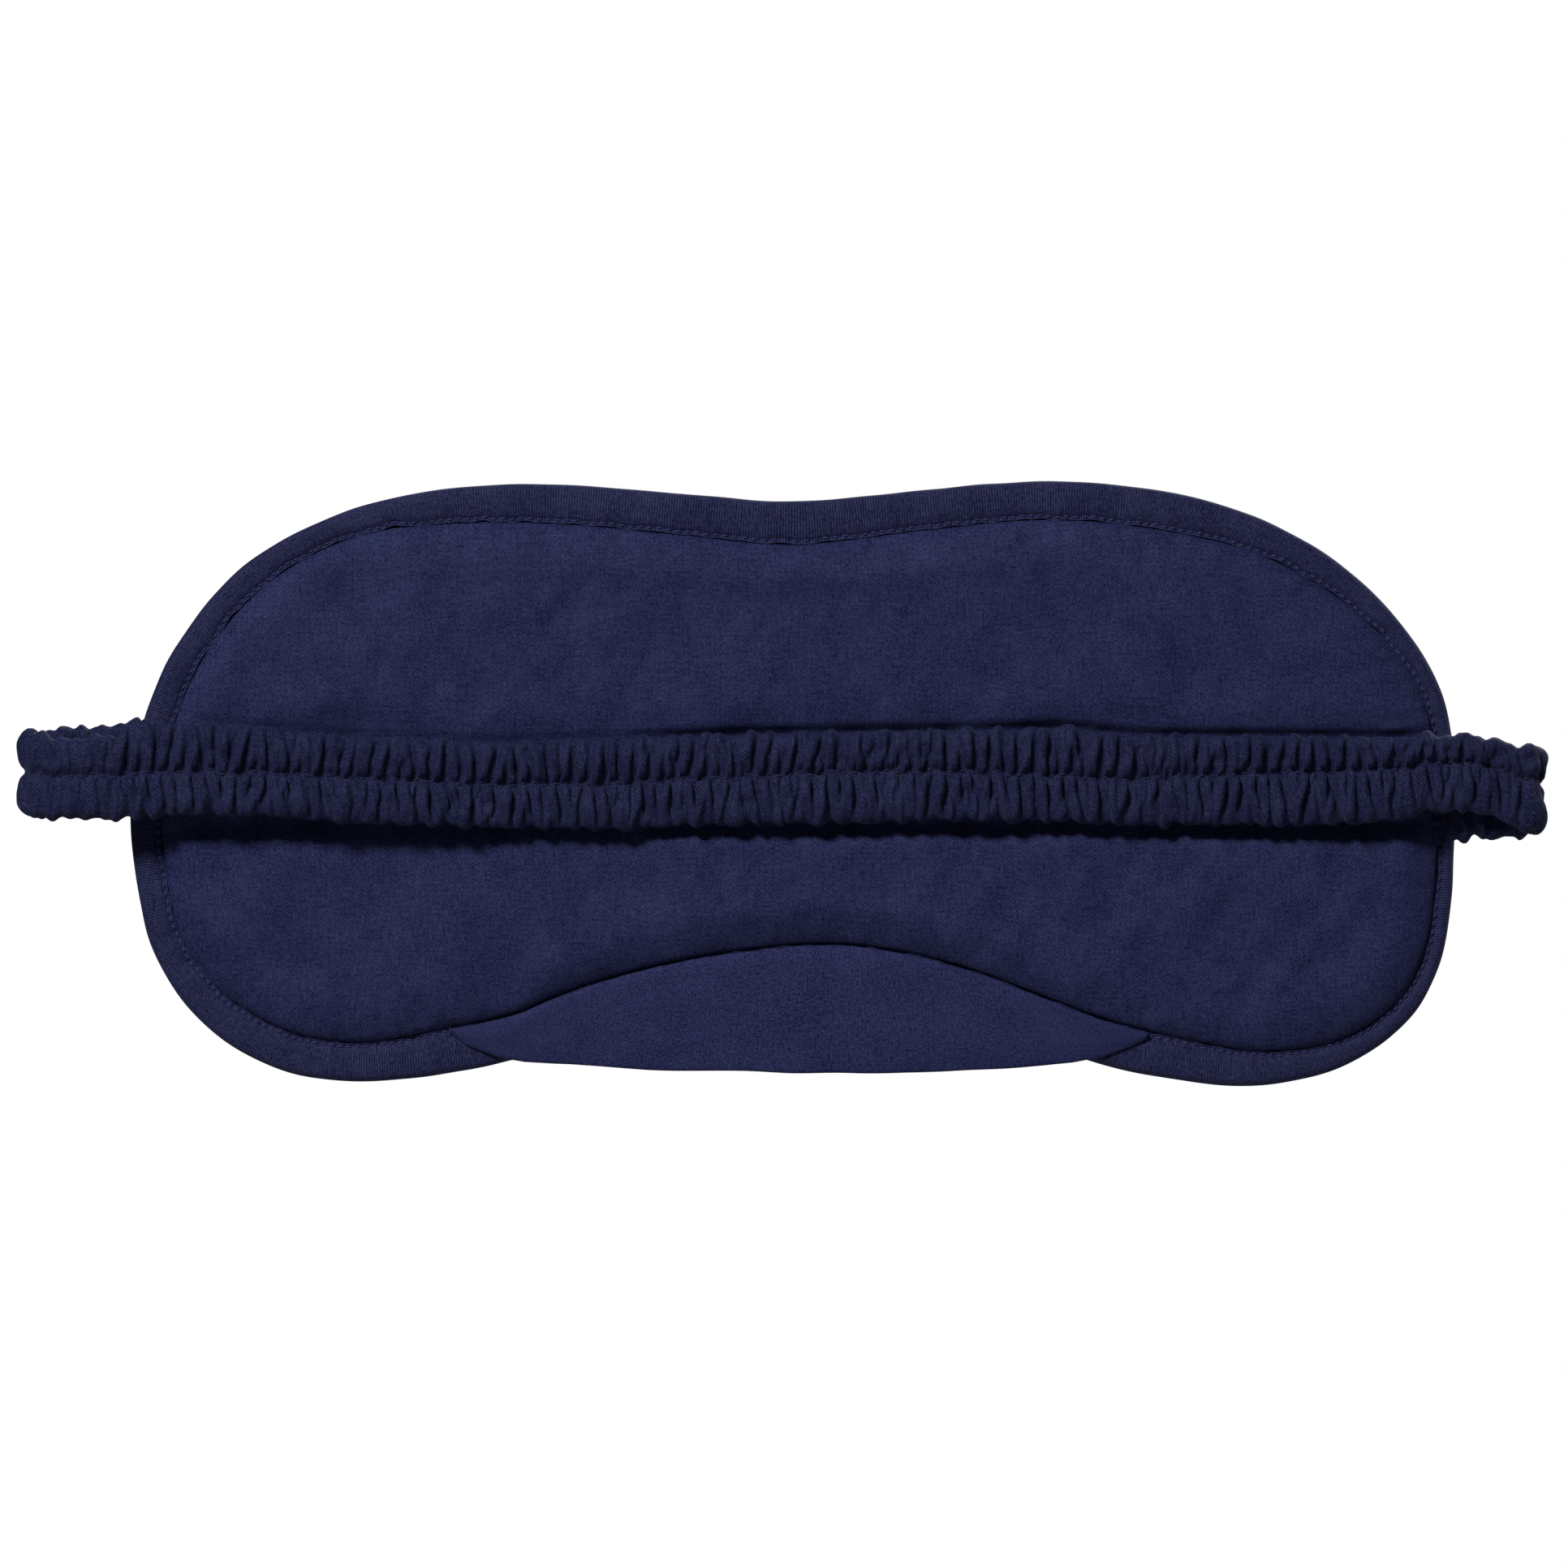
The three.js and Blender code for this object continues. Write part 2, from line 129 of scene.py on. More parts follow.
# The strap's edges and centre stitch along its length, on each part of it: (x, top, stitch, bottom).
STRAP_EDGES = {
    "tab_left": [
        (-99.6, 10.4, 2.9, -4.8),
        (-108, 9.5, 2.6, -5.0),
        (-119, 8.8, 2.4, -5.2),
    ],
    "run": [
        (-119, 8.2, 1.4, -5.3),
        (-113, 7.1, 1.3, -5.8),
        (-108, 8.0, 1.7, -5.6),
        (-103, 9.8, 1.8, -5.3),
        (-95, 9.8, 2.0, -5.0),
        (-87, 9.3, 2.0, -5.0),
        (-68, 7.6, 1.1, -6.4),
        (-49, 6.7, 0.0, -7.0),
        (-29, 7.3, 0.1, -7.4),
        (-10, 8.1, 1.0, -6.7),
        (10, 8.5, 2.0, -6.4),
        (29, 8.7, 1.8, -6.0),
        (42, 9.2, 1.3, -6.2),
        (55, 7.9, 0.8, -6.8),
        (80, 7.8, 2.0, -6.8),
        (93, 7.6, 2.4, -6.3),
        (103, 7.8, 3.5, -4.3),
        (110, 7.6, 3.0, -5.0),
        (116.3, 6.2, 1.2, -7.4),
    ],
    "tab_right": [
        (116.3, 5.6, -1.2, -8.5),
        (108, 5.5, -1.5, -8.7),
        (102.2, 5.7, -1.7, -9.1),
    ],
}
# Depth of the run's middle line: [x, depth].
RUN_DEPTHS = [
    [-119, 9.9],
    [-87, 10.8],
    [-60, 10.3],
    [-32, 7.4],
    [0, 7.4],
    [29, 7.9],
    [60, 7.3],
    [72, 7.5],
    [93, 10.0],
    [116.3, 9.9],
]

# ------------ small helpers


def smoothstep(value):
    """A smooth rise from 0 to 1."""
    clipped = np.clip(value, 0, 1)
    return clipped * clipped * (3 - 2 * clipped)


def smoothed(values, size):
    """A line of values averaged over a soft window, size values wide."""
    window = np.hanning(size)
    window /= window.sum()
    return np.convolve(np.pad(values, size // 2, mode="edge"), window, mode="valid")


def distances(line):
    """How far each point of a line is from its start, along it."""
    return np.concatenate([[0], np.cumsum(np.hypot.reduce(np.diff(line, axis=0), axis=1))])


def place3(flat, depth):
    """Points (x, z) at a depth, as x, y, z."""
    flat = np.asarray(flat)
    return np.stack([flat[..., 0], -np.broadcast_to(depth, flat.shape[:-1]), flat[..., 1]], -1)


def node_points(name):
    """The different vertices of a CAD node, in millimetres."""
    mesh = frame["nodes"][name].data
    flat = np.empty(len(mesh.vertices) * 3)
    mesh.vertices.foreach_get("co", flat)
    return np.unique(np.round(flat.reshape(-1, 3) / MM, 3), axis=0)


def ripple(u, v, rng, count, shortest, longest):
    """A smooth random surface of about unit height, made of waves between two lengths."""
    total = np.zeros(np.broadcast(u, v).shape)
    for _ in range(count):
        length = shortest * (longest / shortest) ** rng.random()
        turn = TAU * rng.random()
        shift = TAU * rng.random()
        total = total + np.sin(TAU * (u * math.cos(turn) + v * math.sin(turn)) / length + shift)
    return total * math.sqrt(2 / count)


def round_trip(along, length, rng, count, shortest, longest):
    """Random waves along a closed line of the given length, which meet where the line closes."""
    total = np.zeros(np.shape(along))
    for _ in range(count):
        wave = shortest * (longest / shortest) ** rng.random()
        cycles = max(1, round(length / wave))
        total = total + np.sin(TAU * (along * cycles / length + rng.random()))
    return total * math.sqrt(2 / count)


def curve_through(corners, spacing, closed):
    """Evenly spaced points on a smooth curve through the corners, and the curve's length. Columns after
    the first two are carried along."""
    corners = np.asarray(corners, float)
    count = len(corners)
    ahead = np.arange(count if closed else count - 1)
    pick = (lambda i: corners[i % count]) if closed else (lambda i: corners[np.clip(i, 0, count - 1)])
    before, start, end, after = (pick(ahead + k) for k in (-1, 0, 1, 2))
    t = np.linspace(0, 1, 48, endpoint=False)[None, :, None]
    before, start, end, after = (a[:, None, :] for a in (before, start, end, after))
    fine = 0.5 * (
        2 * start
        + (end - before) * t
        + (2 * before - 5 * start + 4 * end - after) * t**2
        + (3 * start - before - 3 * end + after) * t**3
    )
    fine = fine.reshape(-1, corners.shape[1])
    fine = np.vstack([fine, corners[:1] if closed else corners[-1:]])
    run = distances(fine[:, :2])
    steps = max(2, round(run[-1] / spacing))
    marks = np.linspace(0, run[-1], steps + 1)
    if closed:
        marks = marks[:-1]
    return np.stack([np.interp(marks, run, column) for column in fine.T], 1), run[-1]


# ------------ meshes


def grid_faces(rows, columns, closed_rows=False, closed_columns=False):
    """Quads over a grid of points, with each corner's row and column counted on past a closed edge."""
    r = np.arange(rows if closed_rows else rows - 1)
    c = np.arange(columns if closed_columns else columns - 1)
    r, c = (a.ravel() for a in np.meshgrid(r, c, indexing="ij"))
    corner_rows = np.stack([r, r, r + 1, r + 1], 1)
    corner_columns = np.stack([c, c + 1, c + 1, c], 1)
    quads = (corner_rows % rows) * columns + corner_columns % columns
    return quads, corner_rows, corner_columns


def make_piece(name, points, patches, material, flat_from=None):
    """A closed mesh from points in millimetres. A patch is (faces, each corner's place on the flat cloth).
    Patches from number flat_from on are flat caps with hard edges."""
    points = np.asarray(points, float)
    volume = 0.0
    for faces, _ in patches:
        first = points[faces[:, 0]]
        for k in range(1, faces.shape[1] - 1):
            cross = np.cross(points[faces[:, k]], points[faces[:, k + 1]])
            volume += float(np.einsum("ij,ij->", first, cross))
    if volume < 0:
        patches = [(faces[:, ::-1], weave[:, ::-1]) for faces, weave in patches]
    loops = np.concatenate([faces.ravel() for faces, _ in patches]).astype(np.int32)
    sizes = np.concatenate([np.full(len(faces), faces.shape[1]) for faces, _ in patches])
    weave = np.concatenate([weave.reshape(-1, 2) for _, weave in patches]).astype(np.float32)
    mesh = bpy.data.meshes.new(name)
    mesh.vertices.add(len(points))
    mesh.vertices.foreach_set("co", (points * MM).astype(np.float32).ravel())
    mesh.loops.add(len(loops))
    mesh.loops.foreach_set("vertex_index", loops)
    mesh.polygons.add(len(sizes))
    starts = np.concatenate([[0], np.cumsum(sizes)[:-1]]).astype(np.int32)
    mesh.polygons.foreach_set("loop_start", starts)
    layer = mesh.uv_layers.new(name="weave")
    layer.data.foreach_set("uv", weave.ravel())
    mesh.update(calc_edges=True)
    smooth = np.ones(len(sizes), bool)
    if flat_from is not None:
        smooth[sum(len(faces) for faces, _ in patches[:flat_from]) :] = False
    mesh.polygons.foreach_set("use_smooth", smooth)
    mesh.materials.append(material)
    piece = bpy.data.objects.new(name, mesh)
    bpy.context.scene.collection.objects.link(piece)
    return piece


def grid_normals(rings):
    """The outward directions over a tube's surface."""
    around = np.roll(rings, -1, 1) - np.roll(rings, 1, 1)
    way = np.cross(around, np.gradient(rings, axis=0))
    if np.sum(way * (rings - rings.mean(1, keepdims=True))) < 0:
        way = -way
    return way / (np.linalg.norm(way, axis=-1, keepdims=True) + 1e-12)


def tube_piece(name, rings, along, across, material, normals=None):
    """A capped tube through rings of points (n, m, 3). across has m + 1 entries, one for each corner.
    The normals, when given, are those of a longer tube that this one is cut from."""
    count, size = rings.shape[:2]
    quads, rows, columns = grid_faces(count, size, closed_columns=True)
    weave = np.stack([along[rows], across[columns]], -1)
    points = [rings.reshape(-1, 3)]
    patches = [(quads, weave)]
    for end, base in ((0, 0), (count - 1, (count - 1) * size)):
        hub = count * size + len(patches) - 1
        points.append(rings[end].mean(0, keepdims=True))
        here = np.arange(size)
        fan = np.stack([base + here, base + (here + 1) % size, np.full(size, hub)], 1)
        if end == 0:
            fan = fan[:, ::-1]
        flat = rings[end][:, [0, 2]]
        flat = np.vstack([flat, flat.mean(0)])
        patches.append((fan, flat[np.where(fan == hub, size, fan - base)]))
    piece = make_piece(name, np.vstack(points), patches, material, flat_from=1)
    if normals is not None:
        hubs = np.zeros((2, 3))
        piece.data.normals_split_custom_set_from_vertices(np.vstack([normals.reshape(-1, 3), hubs]))
    return piece


# ------------ materials


def linear(color):
    """An 8-bit display colour as linear red, green and blue."""
    parts = [part / 255 for part in color]
    return [p / 12.92 if p <= 0.04045 else ((p + 0.055) / 1.055) ** 2.4 for p in parts]


class Nodes:
    """Short names for building the node tree of a material or a world."""

    def __init__(self, owner):
        self.owner = owner
        owner.use_nodes = True
        self.tree = owner.node_tree
        self.tree.nodes.clear()

    def add(self, kind, inputs=None, **settings):
        node = self.tree.nodes.new("ShaderNode" + kind)
        for key, value in settings.items():
            setattr(node, key, value)
        for key, value in (inputs or {}).items():
            if isinstance(value, bpy.types.NodeSocket):
                self.tree.links.new(value, node.inputs[key])
            else:
                node.inputs[key].default_value = value
        return node

    def mix(self, factor, a, b):
        """A mix of two colours. Inputs 6 and 7 are the Mix node's two colours."""
        return self.add("Mix", {"Factor": factor, 6: a, 7: b}, data_type="RGBA").outputs[2]

    def math(self, operation, a, b=0.0, c=0.0):
        return self.add("Math", {0: a, 1: b, 2: c}, operation=operation).outputs[0]

    def noise(self, vector, scale, detail=2.0, roughness=0.5, squash=(1, 1, 1)):
        stretched = self.add("Mapping", {"Vector": vector, "Scale": squash}).outputs[0]
        inputs = {"Vector": stretched, "Scale": scale, "Detail": detail, "Roughness": roughness}
        return self.add("TexNoise", inputs).outputs["Fac"]

    def bands(self, vector, angle, period, wobble=0.0):
        """Soft bands across the flat cloth, 0 to 1. They follow one another along the angle, in degrees."""
        turn = math.radians(angle)
        ways = (math.cos(turn) / period, math.sin(turn) / period, 0)
        place = self.add("VectorMath", {0: vector, 1: ways}, operation="DOT_PRODUCT").outputs["Value"]
        if wobble:
            drift = self.noise(vector, 0.35, 1)
            place = self.math("MULTIPLY_ADD", drift, wobble, place)
        wave = self.math("SINE", self.math("MULTIPLY", place, TAU))
        return self.math("MULTIPLY_ADD", wave, 0.5, 0.5)


def cloth(name, color, bands, mottle=0.85, slub=0.30, roughness=0.8, sheen=0.10, bump=0.5):
    """Woven or knitted cloth. Each band is (angle, period in millimetres, share of brightness, wobble).
    Mottle is the strength of the fine specks, and slub that of the uneven threads."""
    sharpness, mean_wave = 1.5, 0.43
    patchiness = 0.2
    # The second number is the share of painted sheen: grey added where the cloth is lighter.
    lint, painted_thread_sheen = 0.024, 0.030
    relief = 0.05
    n = Nodes(bpy.data.materials.new(name))
    weave = n.add("UVMap", uv_map="weave").outputs[0]
    change = 0.0
    height = 0.0
    worn = n.math("MULTIPLY", n.noise(weave, 0.8, 2), 2.0)
    for angle, period, share, wobble in bands:
        wave = n.math("POWER", n.bands(weave, angle, period, wobble), sharpness)
        wave = n.math("MULTIPLY", wave, worn)
        change = n.math("MULTIPLY_ADD", wave, share, change)
        change = n.math("SUBTRACT", change, share * mean_wave)
        height = n.math("MULTIPLY_ADD", wave, share, height)
    fine = n.noise(weave, 2.4, 3, 0.7)
    streak = n.noise(weave, 0.9, 3, 0.65, squash=(0.35, 2.4, 1))
    cross_streak = n.noise(weave, 0.9, 3, 0.65, squash=(2.4, 0.35, 1))
    patch = n.noise(weave, 0.13, 2, 0.5)
    for noise, share in ((fine, mottle), (streak, slub), (cross_streak, slub), (patch, patchiness)):
        change = n.math("MULTIPLY_ADD", noise, 2 * share, change)
        change = n.math("SUBTRACT", change, share)
    height = n.math("MULTIPLY_ADD", fine, 0.3, height)
    red, green, blue = linear(color)
    hue = n.noise(weave, 0.3, 2)
    tint = n.mix(hue, (red * 1.1, green * 0.97, blue, 1), (red * 0.9, green * 1.03, blue, 1))
    brightness = n.math("ADD", change, 1.0)
    lit = n.add("VectorMath", {0: tint, "Scale": brightness}, operation="SCALE").outputs[0]
    # Lint is paler than the dyed cloth, and a grey share of the brightness change is painted sheen on the
    # lighter threads, so part of the change has no colour.
    pale = n.math("MULTIPLY_ADD", n.noise(weave, 2.6, 2, 0.6), lint, -lint / 2)
    pale = n.math("MULTIPLY_ADD", change, painted_thread_sheen, pale)
    lit = n.add("VectorMath", {0: lit, 1: pale}, operation="ADD").outputs[0]
    normal = n.add("Bump", {"Strength": bump, "Distance": relief * MM, "Height": height}).outputs[0]
    gloss = n.math("MULTIPLY_ADD", fine, -0.12, roughness + 0.06)
    shader = n.add("BsdfPrincipled", {
        "Base Color": lit,
        "Roughness": gloss,
        "Normal": normal,
        "Specular IOR Level": 0.22,
        "Sheen Weight": sheen,
        "Sheen Roughness": 0.45,
        "Sheen Tint": (0.45, 0.5, 0.95, 1),
    })
    n.add("OutputMaterial", {"Surface": shader.outputs[0]})
    return n.owner


# Name, colour, bands and any of the other settings of cloth().
CLOTHS = [
    ("lining_twill", (34, 39, 79), [(36, 0.40, 0.36, 0.7)], {}),
    ("front_twill", (34, 39, 79), [(144, 0.40, 0.36, 0.7)], {}),
    ("binding_ribbed", (33, 36, 72), [(0, 0.43, 0.52, 0.6)], {"slub": 0.2}),
    ("flap_knit", (36, 40, 82), [(3, 0.36, 0.30, 0.6), (90, 0.30, 0.2, 0.6)],
     {"mottle": 1.1, "slub": 0.1, "bump": 0.35}),
    # The strap's cloth: the lining's navy, darkened with painted shade for the shadows in its pleats.
    ("strap_cloth", (25, 29, 64), [(36, 0.4, 0.3, 0.7)], {"mottle": 0.8}),
    ("thread_dark", (40, 40, 76), [(30, 0.22, 0.5, 0.0)], {"mottle": 0.3, "slub": 0, "roughness": 0.6}),
    ("thread", (56, 58, 106), [(30, 0.22, 0.5, 0.0)], {"mottle": 0.3, "slub": 0, "roughness": 0.55}),
    ("foam", (200, 198, 188), [(0, 0.7, 0.05, 1.0)], {"mottle": 0.2, "slub": 0, "bump": 0.8, "sheen": 0}),
    ("blackout", (16, 16, 20), [(0, 0.3, 0.2, 0.2), (90, 0.3, 0.2, 0.2)], {"sheen": 0.05}),
    ("elastic", (27, 28, 34), [(0, 0.9, 0.3, 0.1), (90, 0.45, 0.3, 0.1)], {}),
]
MATERIALS = {name: cloth(name, color, bands, **settings) for name, color, bands, settings in CLOTHS}

# ------------ the mask's outline, from the CAD binding


class Outline:
    """Stations round the mask's outer edge: place, way in, binding width and distance along."""

    def __init__(self, corners, spacing):
        stations, self.length = curve_through(corners, spacing, closed=True)
        self.place = stations[:, :2]
        self.width = stations[:, 2]
        tangent = np.roll(self.place, -1, 0) - np.roll(self.place, 1, 0)
        tangent /= np.linalg.norm(tangent, axis=1, keepdims=True)
        self.tangent = tangent
        self.inward = np.stack([-tangent[:, 1], tangent[:, 0]], 1)
        self.along = np.arange(len(stations)) * self.length / len(stations)

    def ring(self, inset):
        """The outline moved in by an inset, which may differ at each station."""
        return self.place + self.inward * np.broadcast_to(inset, len(self.place))[:, None]


def outline_corners():
    """The corners of the CAD binding's outer edge, counter-clockwise, with the binding's width at each."""
    tolerance = 0.05
    longest_gap = 0.8
    points = node_points("edge_binding")
    edge = points[np.abs(points[:, 1] + SEAM_MIDDLE_DEPTH) < tolerance][:, [0, 2]]
    reach = np.hypot(*edge.T)
    gap = np.linalg.norm(edge[:, None] - edge[None], axis=2)
    # A corner with another one just outside it belongs to the binding's inner wall.
    outer = ~((gap < longest_gap) & (reach[None] > reach[:, None] + tolerance)).any(1)
    edge = edge[outer]
    edge = edge[np.argsort(np.arctan2(edge[:, 1], edge[:, 0]))]
    thread = node_points("binding_needle_thread")[:, [0, 2]]
    width = np.linalg.norm(edge[:, None] - thread[None], axis=2).min(1) + THREAD_INSET
    return np.column_stack([edge, width])


CORNERS = outline_corners()


# ------------ layers of the mask


def inside(points, loop):
    """Which points lie inside a closed loop."""
    x, z = points[:, None, 0], points[:, None, 1]
    a, b = loop[None], np.roll(loop, -1, 0)[None]
    crosses = (a[..., 1] > z) != (b[..., 1] > z)
    rise = np.where(b[..., 1] == a[..., 1], 1, b[..., 1] - a[..., 1])
    at = a[..., 0] + (z - a[..., 1]) * (b[..., 0] - a[..., 0]) / rise
    return (crosses & (at > x)).sum(1) % 2 == 1


def nearest_on(line, points):
    """The number of the nearest point of a line to each point, and how far it is."""
    numbers, gaps = [], []
    for part in np.array_split(points, 16):
        gap = np.linalg.norm(part[:, None] - line[None], axis=2)
        numbers.append(gap.argmin(1))
        gaps.append(gap.min(1))
    return np.concatenate(numbers), np.concatenate(gaps)


def turn_of(corners):
    """Which way three flat points follow one another, 1 or -1."""
    side, other = corners[1] - corners[0], corners[2] - corners[0]
    return np.sign(side[0] * other[1] - side[1] * other[0])


class Sheet:
    """A flat mesh of the mask's area: rings in from the edge, then a grid whose points stray by a share of
    its step. Each inset is (binding widths, extra)."""

    def __init__(self, spacing, grid, insets, stray=0.0):
        outline = Outline(CORNERS, spacing)
        count = len(outline.place)
        reach = [widths * outline.width + extra for widths, extra in insets]
        rings = [outline.ring(inset) for inset in reach]
        low, high = rings[-1].min(0), rings[-1].max(0)
        xs = np.arange(low[0], high[0], grid)
        zs = np.arange(low[1], high[1], grid * math.sqrt(3) / 2)
        gx, gz = np.meshgrid(xs, zs)
        gx = gx + grid / 2 * (np.arange(len(zs)) % 2)[:, None]
        fill = np.stack([gx.ravel(), gz.ravel()], 1)
        fill = fill + stray * grid * np.random.default_rng(3).uniform(-1, 1, fill.shape)
        fill = fill[inside(fill, rings[-1])]
        _, gap = nearest_on(rings[-1], fill)
        fill = fill[gap > 0.6 * grid]
        corners = [Vector(p) for p in np.vstack([rings[-1], fill])]
        loop = [list(range(count))]
        result = delaunay_2d_cdt(corners, [], loop, 1, 1e-6)
        if len(result[0]) != len(corners):
            raise RuntimeError("the sheet's triangles merged some points")
        order = np.array([origin[0] for origin in result[3]])
        triangles = order[np.array(result[2])] + (len(rings) - 1) * count
        self.points = np.vstack(rings + [fill])
        nearest, gap = nearest_on(outline.place, fill)
        self.inset = np.concatenate(reach + [gap])
        self.width = np.concatenate([outline.width] * len(rings) + [outline.width[nearest]])
        self.along = np.concatenate([outline.along] * len(rings) + [outline.along[nearest]])
        self.length = outline.length
        self.quads = grid_faces(len(rings), count, closed_columns=True)[0]
        self.triangles = triangles
        self.rim = np.arange(count)

    def piece(self, name, outer, inner, material, slot):
        """A closed layer between two depths given for each point."""
        count = len(self.points)
        points = np.vstack([place3(self.points, outer), place3(self.points, inner)])
        following = np.roll(self.rim, -1)
        side = np.stack([self.rim, following, following + count, self.rim + count], 1)
        flat = np.vstack([self.points, self.points])
        groups = [
            self.quads, self.triangles,
            self.quads[:, ::-1] + count, self.triangles[:, ::-1] + count,
        ]
        quad_turn = turn_of(self.points[self.quads[0]])
        if quad_turn != turn_of(self.points[self.triangles[0]]):
            groups[1] = groups[1][:, ::-1]
            groups[3] = groups[3][:, ::-1]
        if quad_turn > 0:
            side = side[:, ::-1]
        patches = [(faces, flat[faces]) for faces in groups + [side]]
        return make_piece(name, points, patches, MATERIALS[material])


def lining_depth(distance, edge, crown, length):
    """Depth of a padded face, which rises from its edge to its crown over a length."""
    left = 1 - np.clip(distance / length, 0, 1)
    return edge + (crown - edge) * np.sqrt(1 - left**2)


def settle_cloth(sheet, depth, held):
    """Simulates a sheet as cloth a little too large for its seam, blown up from below, and returns how far
    each point rises. Where held is 1 the cloth is sewn down. Where it is lower, it is held more softly."""
    scene = bpy.context.scene
    mesh = bpy.data.meshes.new("settling")
    faces = sheet.quads.tolist() + sheet.triangles.tolist()
    mesh.from_pydata((place3(sheet.points, depth) * MM).tolist(), [], faces)
    if sum(polygon.normal.y for polygon in mesh.polygons) > 0:
        mesh.flip_normals()
    panel = bpy.data.objects.new("settling", mesh)
    scene.collection.objects.link(panel)
    group = panel.vertex_groups.new(name="sewn")
    for level in np.unique(held):
        group.add(np.flatnonzero(held == level).tolist(), float(level), "REPLACE")
    modifier = panel.modifiers.new("settling", "CLOTH")
    modifier.collision_settings.use_collision = False
    modifier.point_cache.frame_end = CLOTH_FRAMES
    settings = modifier.settings
    settings.quality = 5
    settings.mass = 0.15
    settings.vertex_group_mass = "sewn"
    settings.shrink_min = -CLOTH_SLACK
    settings.tension_stiffness = 20
    settings.compression_stiffness = 20
    settings.shear_stiffness = 8
    settings.bending_stiffness = 6
    settings.use_pressure = True
    settings.uniform_pressure_force = 8
    settings.effector_weights.gravity = 0
    for number in range(1, CLOTH_FRAMES + 1):
        scene.frame_set(number)
    settled = panel.evaluated_get(bpy.context.evaluated_depsgraph_get())
    flat = np.empty(len(sheet.points) * 3)
    settled.data.vertices.foreach_get("co", flat)
    bpy.data.objects.remove(panel)
    bpy.data.meshes.remove(mesh)
    scene.frame_set(1)
    rise = -flat.reshape(-1, 3)[:, 1] / MM - depth
    return np.clip(rise, -CLOTH_REACH, CLOTH_REACH)


def spread(places, values, points, neighbours=8, softness=1.3):
    """Values known at some places, carried to other points near them."""
    tree = KDTree(len(places))
    for index, (x, z) in enumerate(places):
        tree.insert((x, z, 0), index)
    tree.balance()
    result = np.empty(len(points))
    for index, (x, z) in enumerate(points):
        near = tree.find_n((x, z, 0), neighbours)
        weights = [math.exp(-((distance / softness) ** 2)) + 1e-9 for _, _, distance in near]
        total = sum(weight * values[found] for weight, (_, found, _) in zip(weights, near))
        result[index] = total / sum(weights)
    return result


def strap_dent(x, z, past):
    """How far the strap presses the padding in: softly all round it, and sharply along its upper edge."""
    strap_x, strap_top, _, _ = np.array(STRAP_EDGES["run"]).T
    above = z - np.interp(x, strap_x, strap_top)
    soft = 0.5 * smoothstep((5 - above) / 5)
    sharp = 1.3 * smoothstep((1.3 - above) / 1.5) * (0.4 + 0.6 * smoothstep((x + 35) / 25))
    return (soft + sharp) * smoothstep((z + 10) / 4.5) * smoothstep(past / 6)


def puffed_depth(distance):
    """Depth of the lining's outer face before it is simulated."""
    return lining_depth(distance, LINING_EDGE_DEPTH, LINING_CROWN_DEPTH, PUFF_LENGTH)


def settled_rise(points):
    """How far the simulated lining rises past its first shape, at some points."""
    insets = [(1, extra) for extra in (0, 0.7, 1.5, 2.4, 3.4, 4.5)]
    loose = Sheet(CLOTH_SPACING, CLOTH_GRID, insets, stray=0.33)
    past = loose.inset - loose.width
    depth = puffed_depth(past)
    held = np.select([past < 0.1, past < 7], [1.0, 0.0], 0.15)
    rise = settle_cloth(loose, depth, held)
    return spread(loose.points, rise, points)


def attach_to_mask(piece, node):
    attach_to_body(piece, "mask_body")
    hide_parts(node)


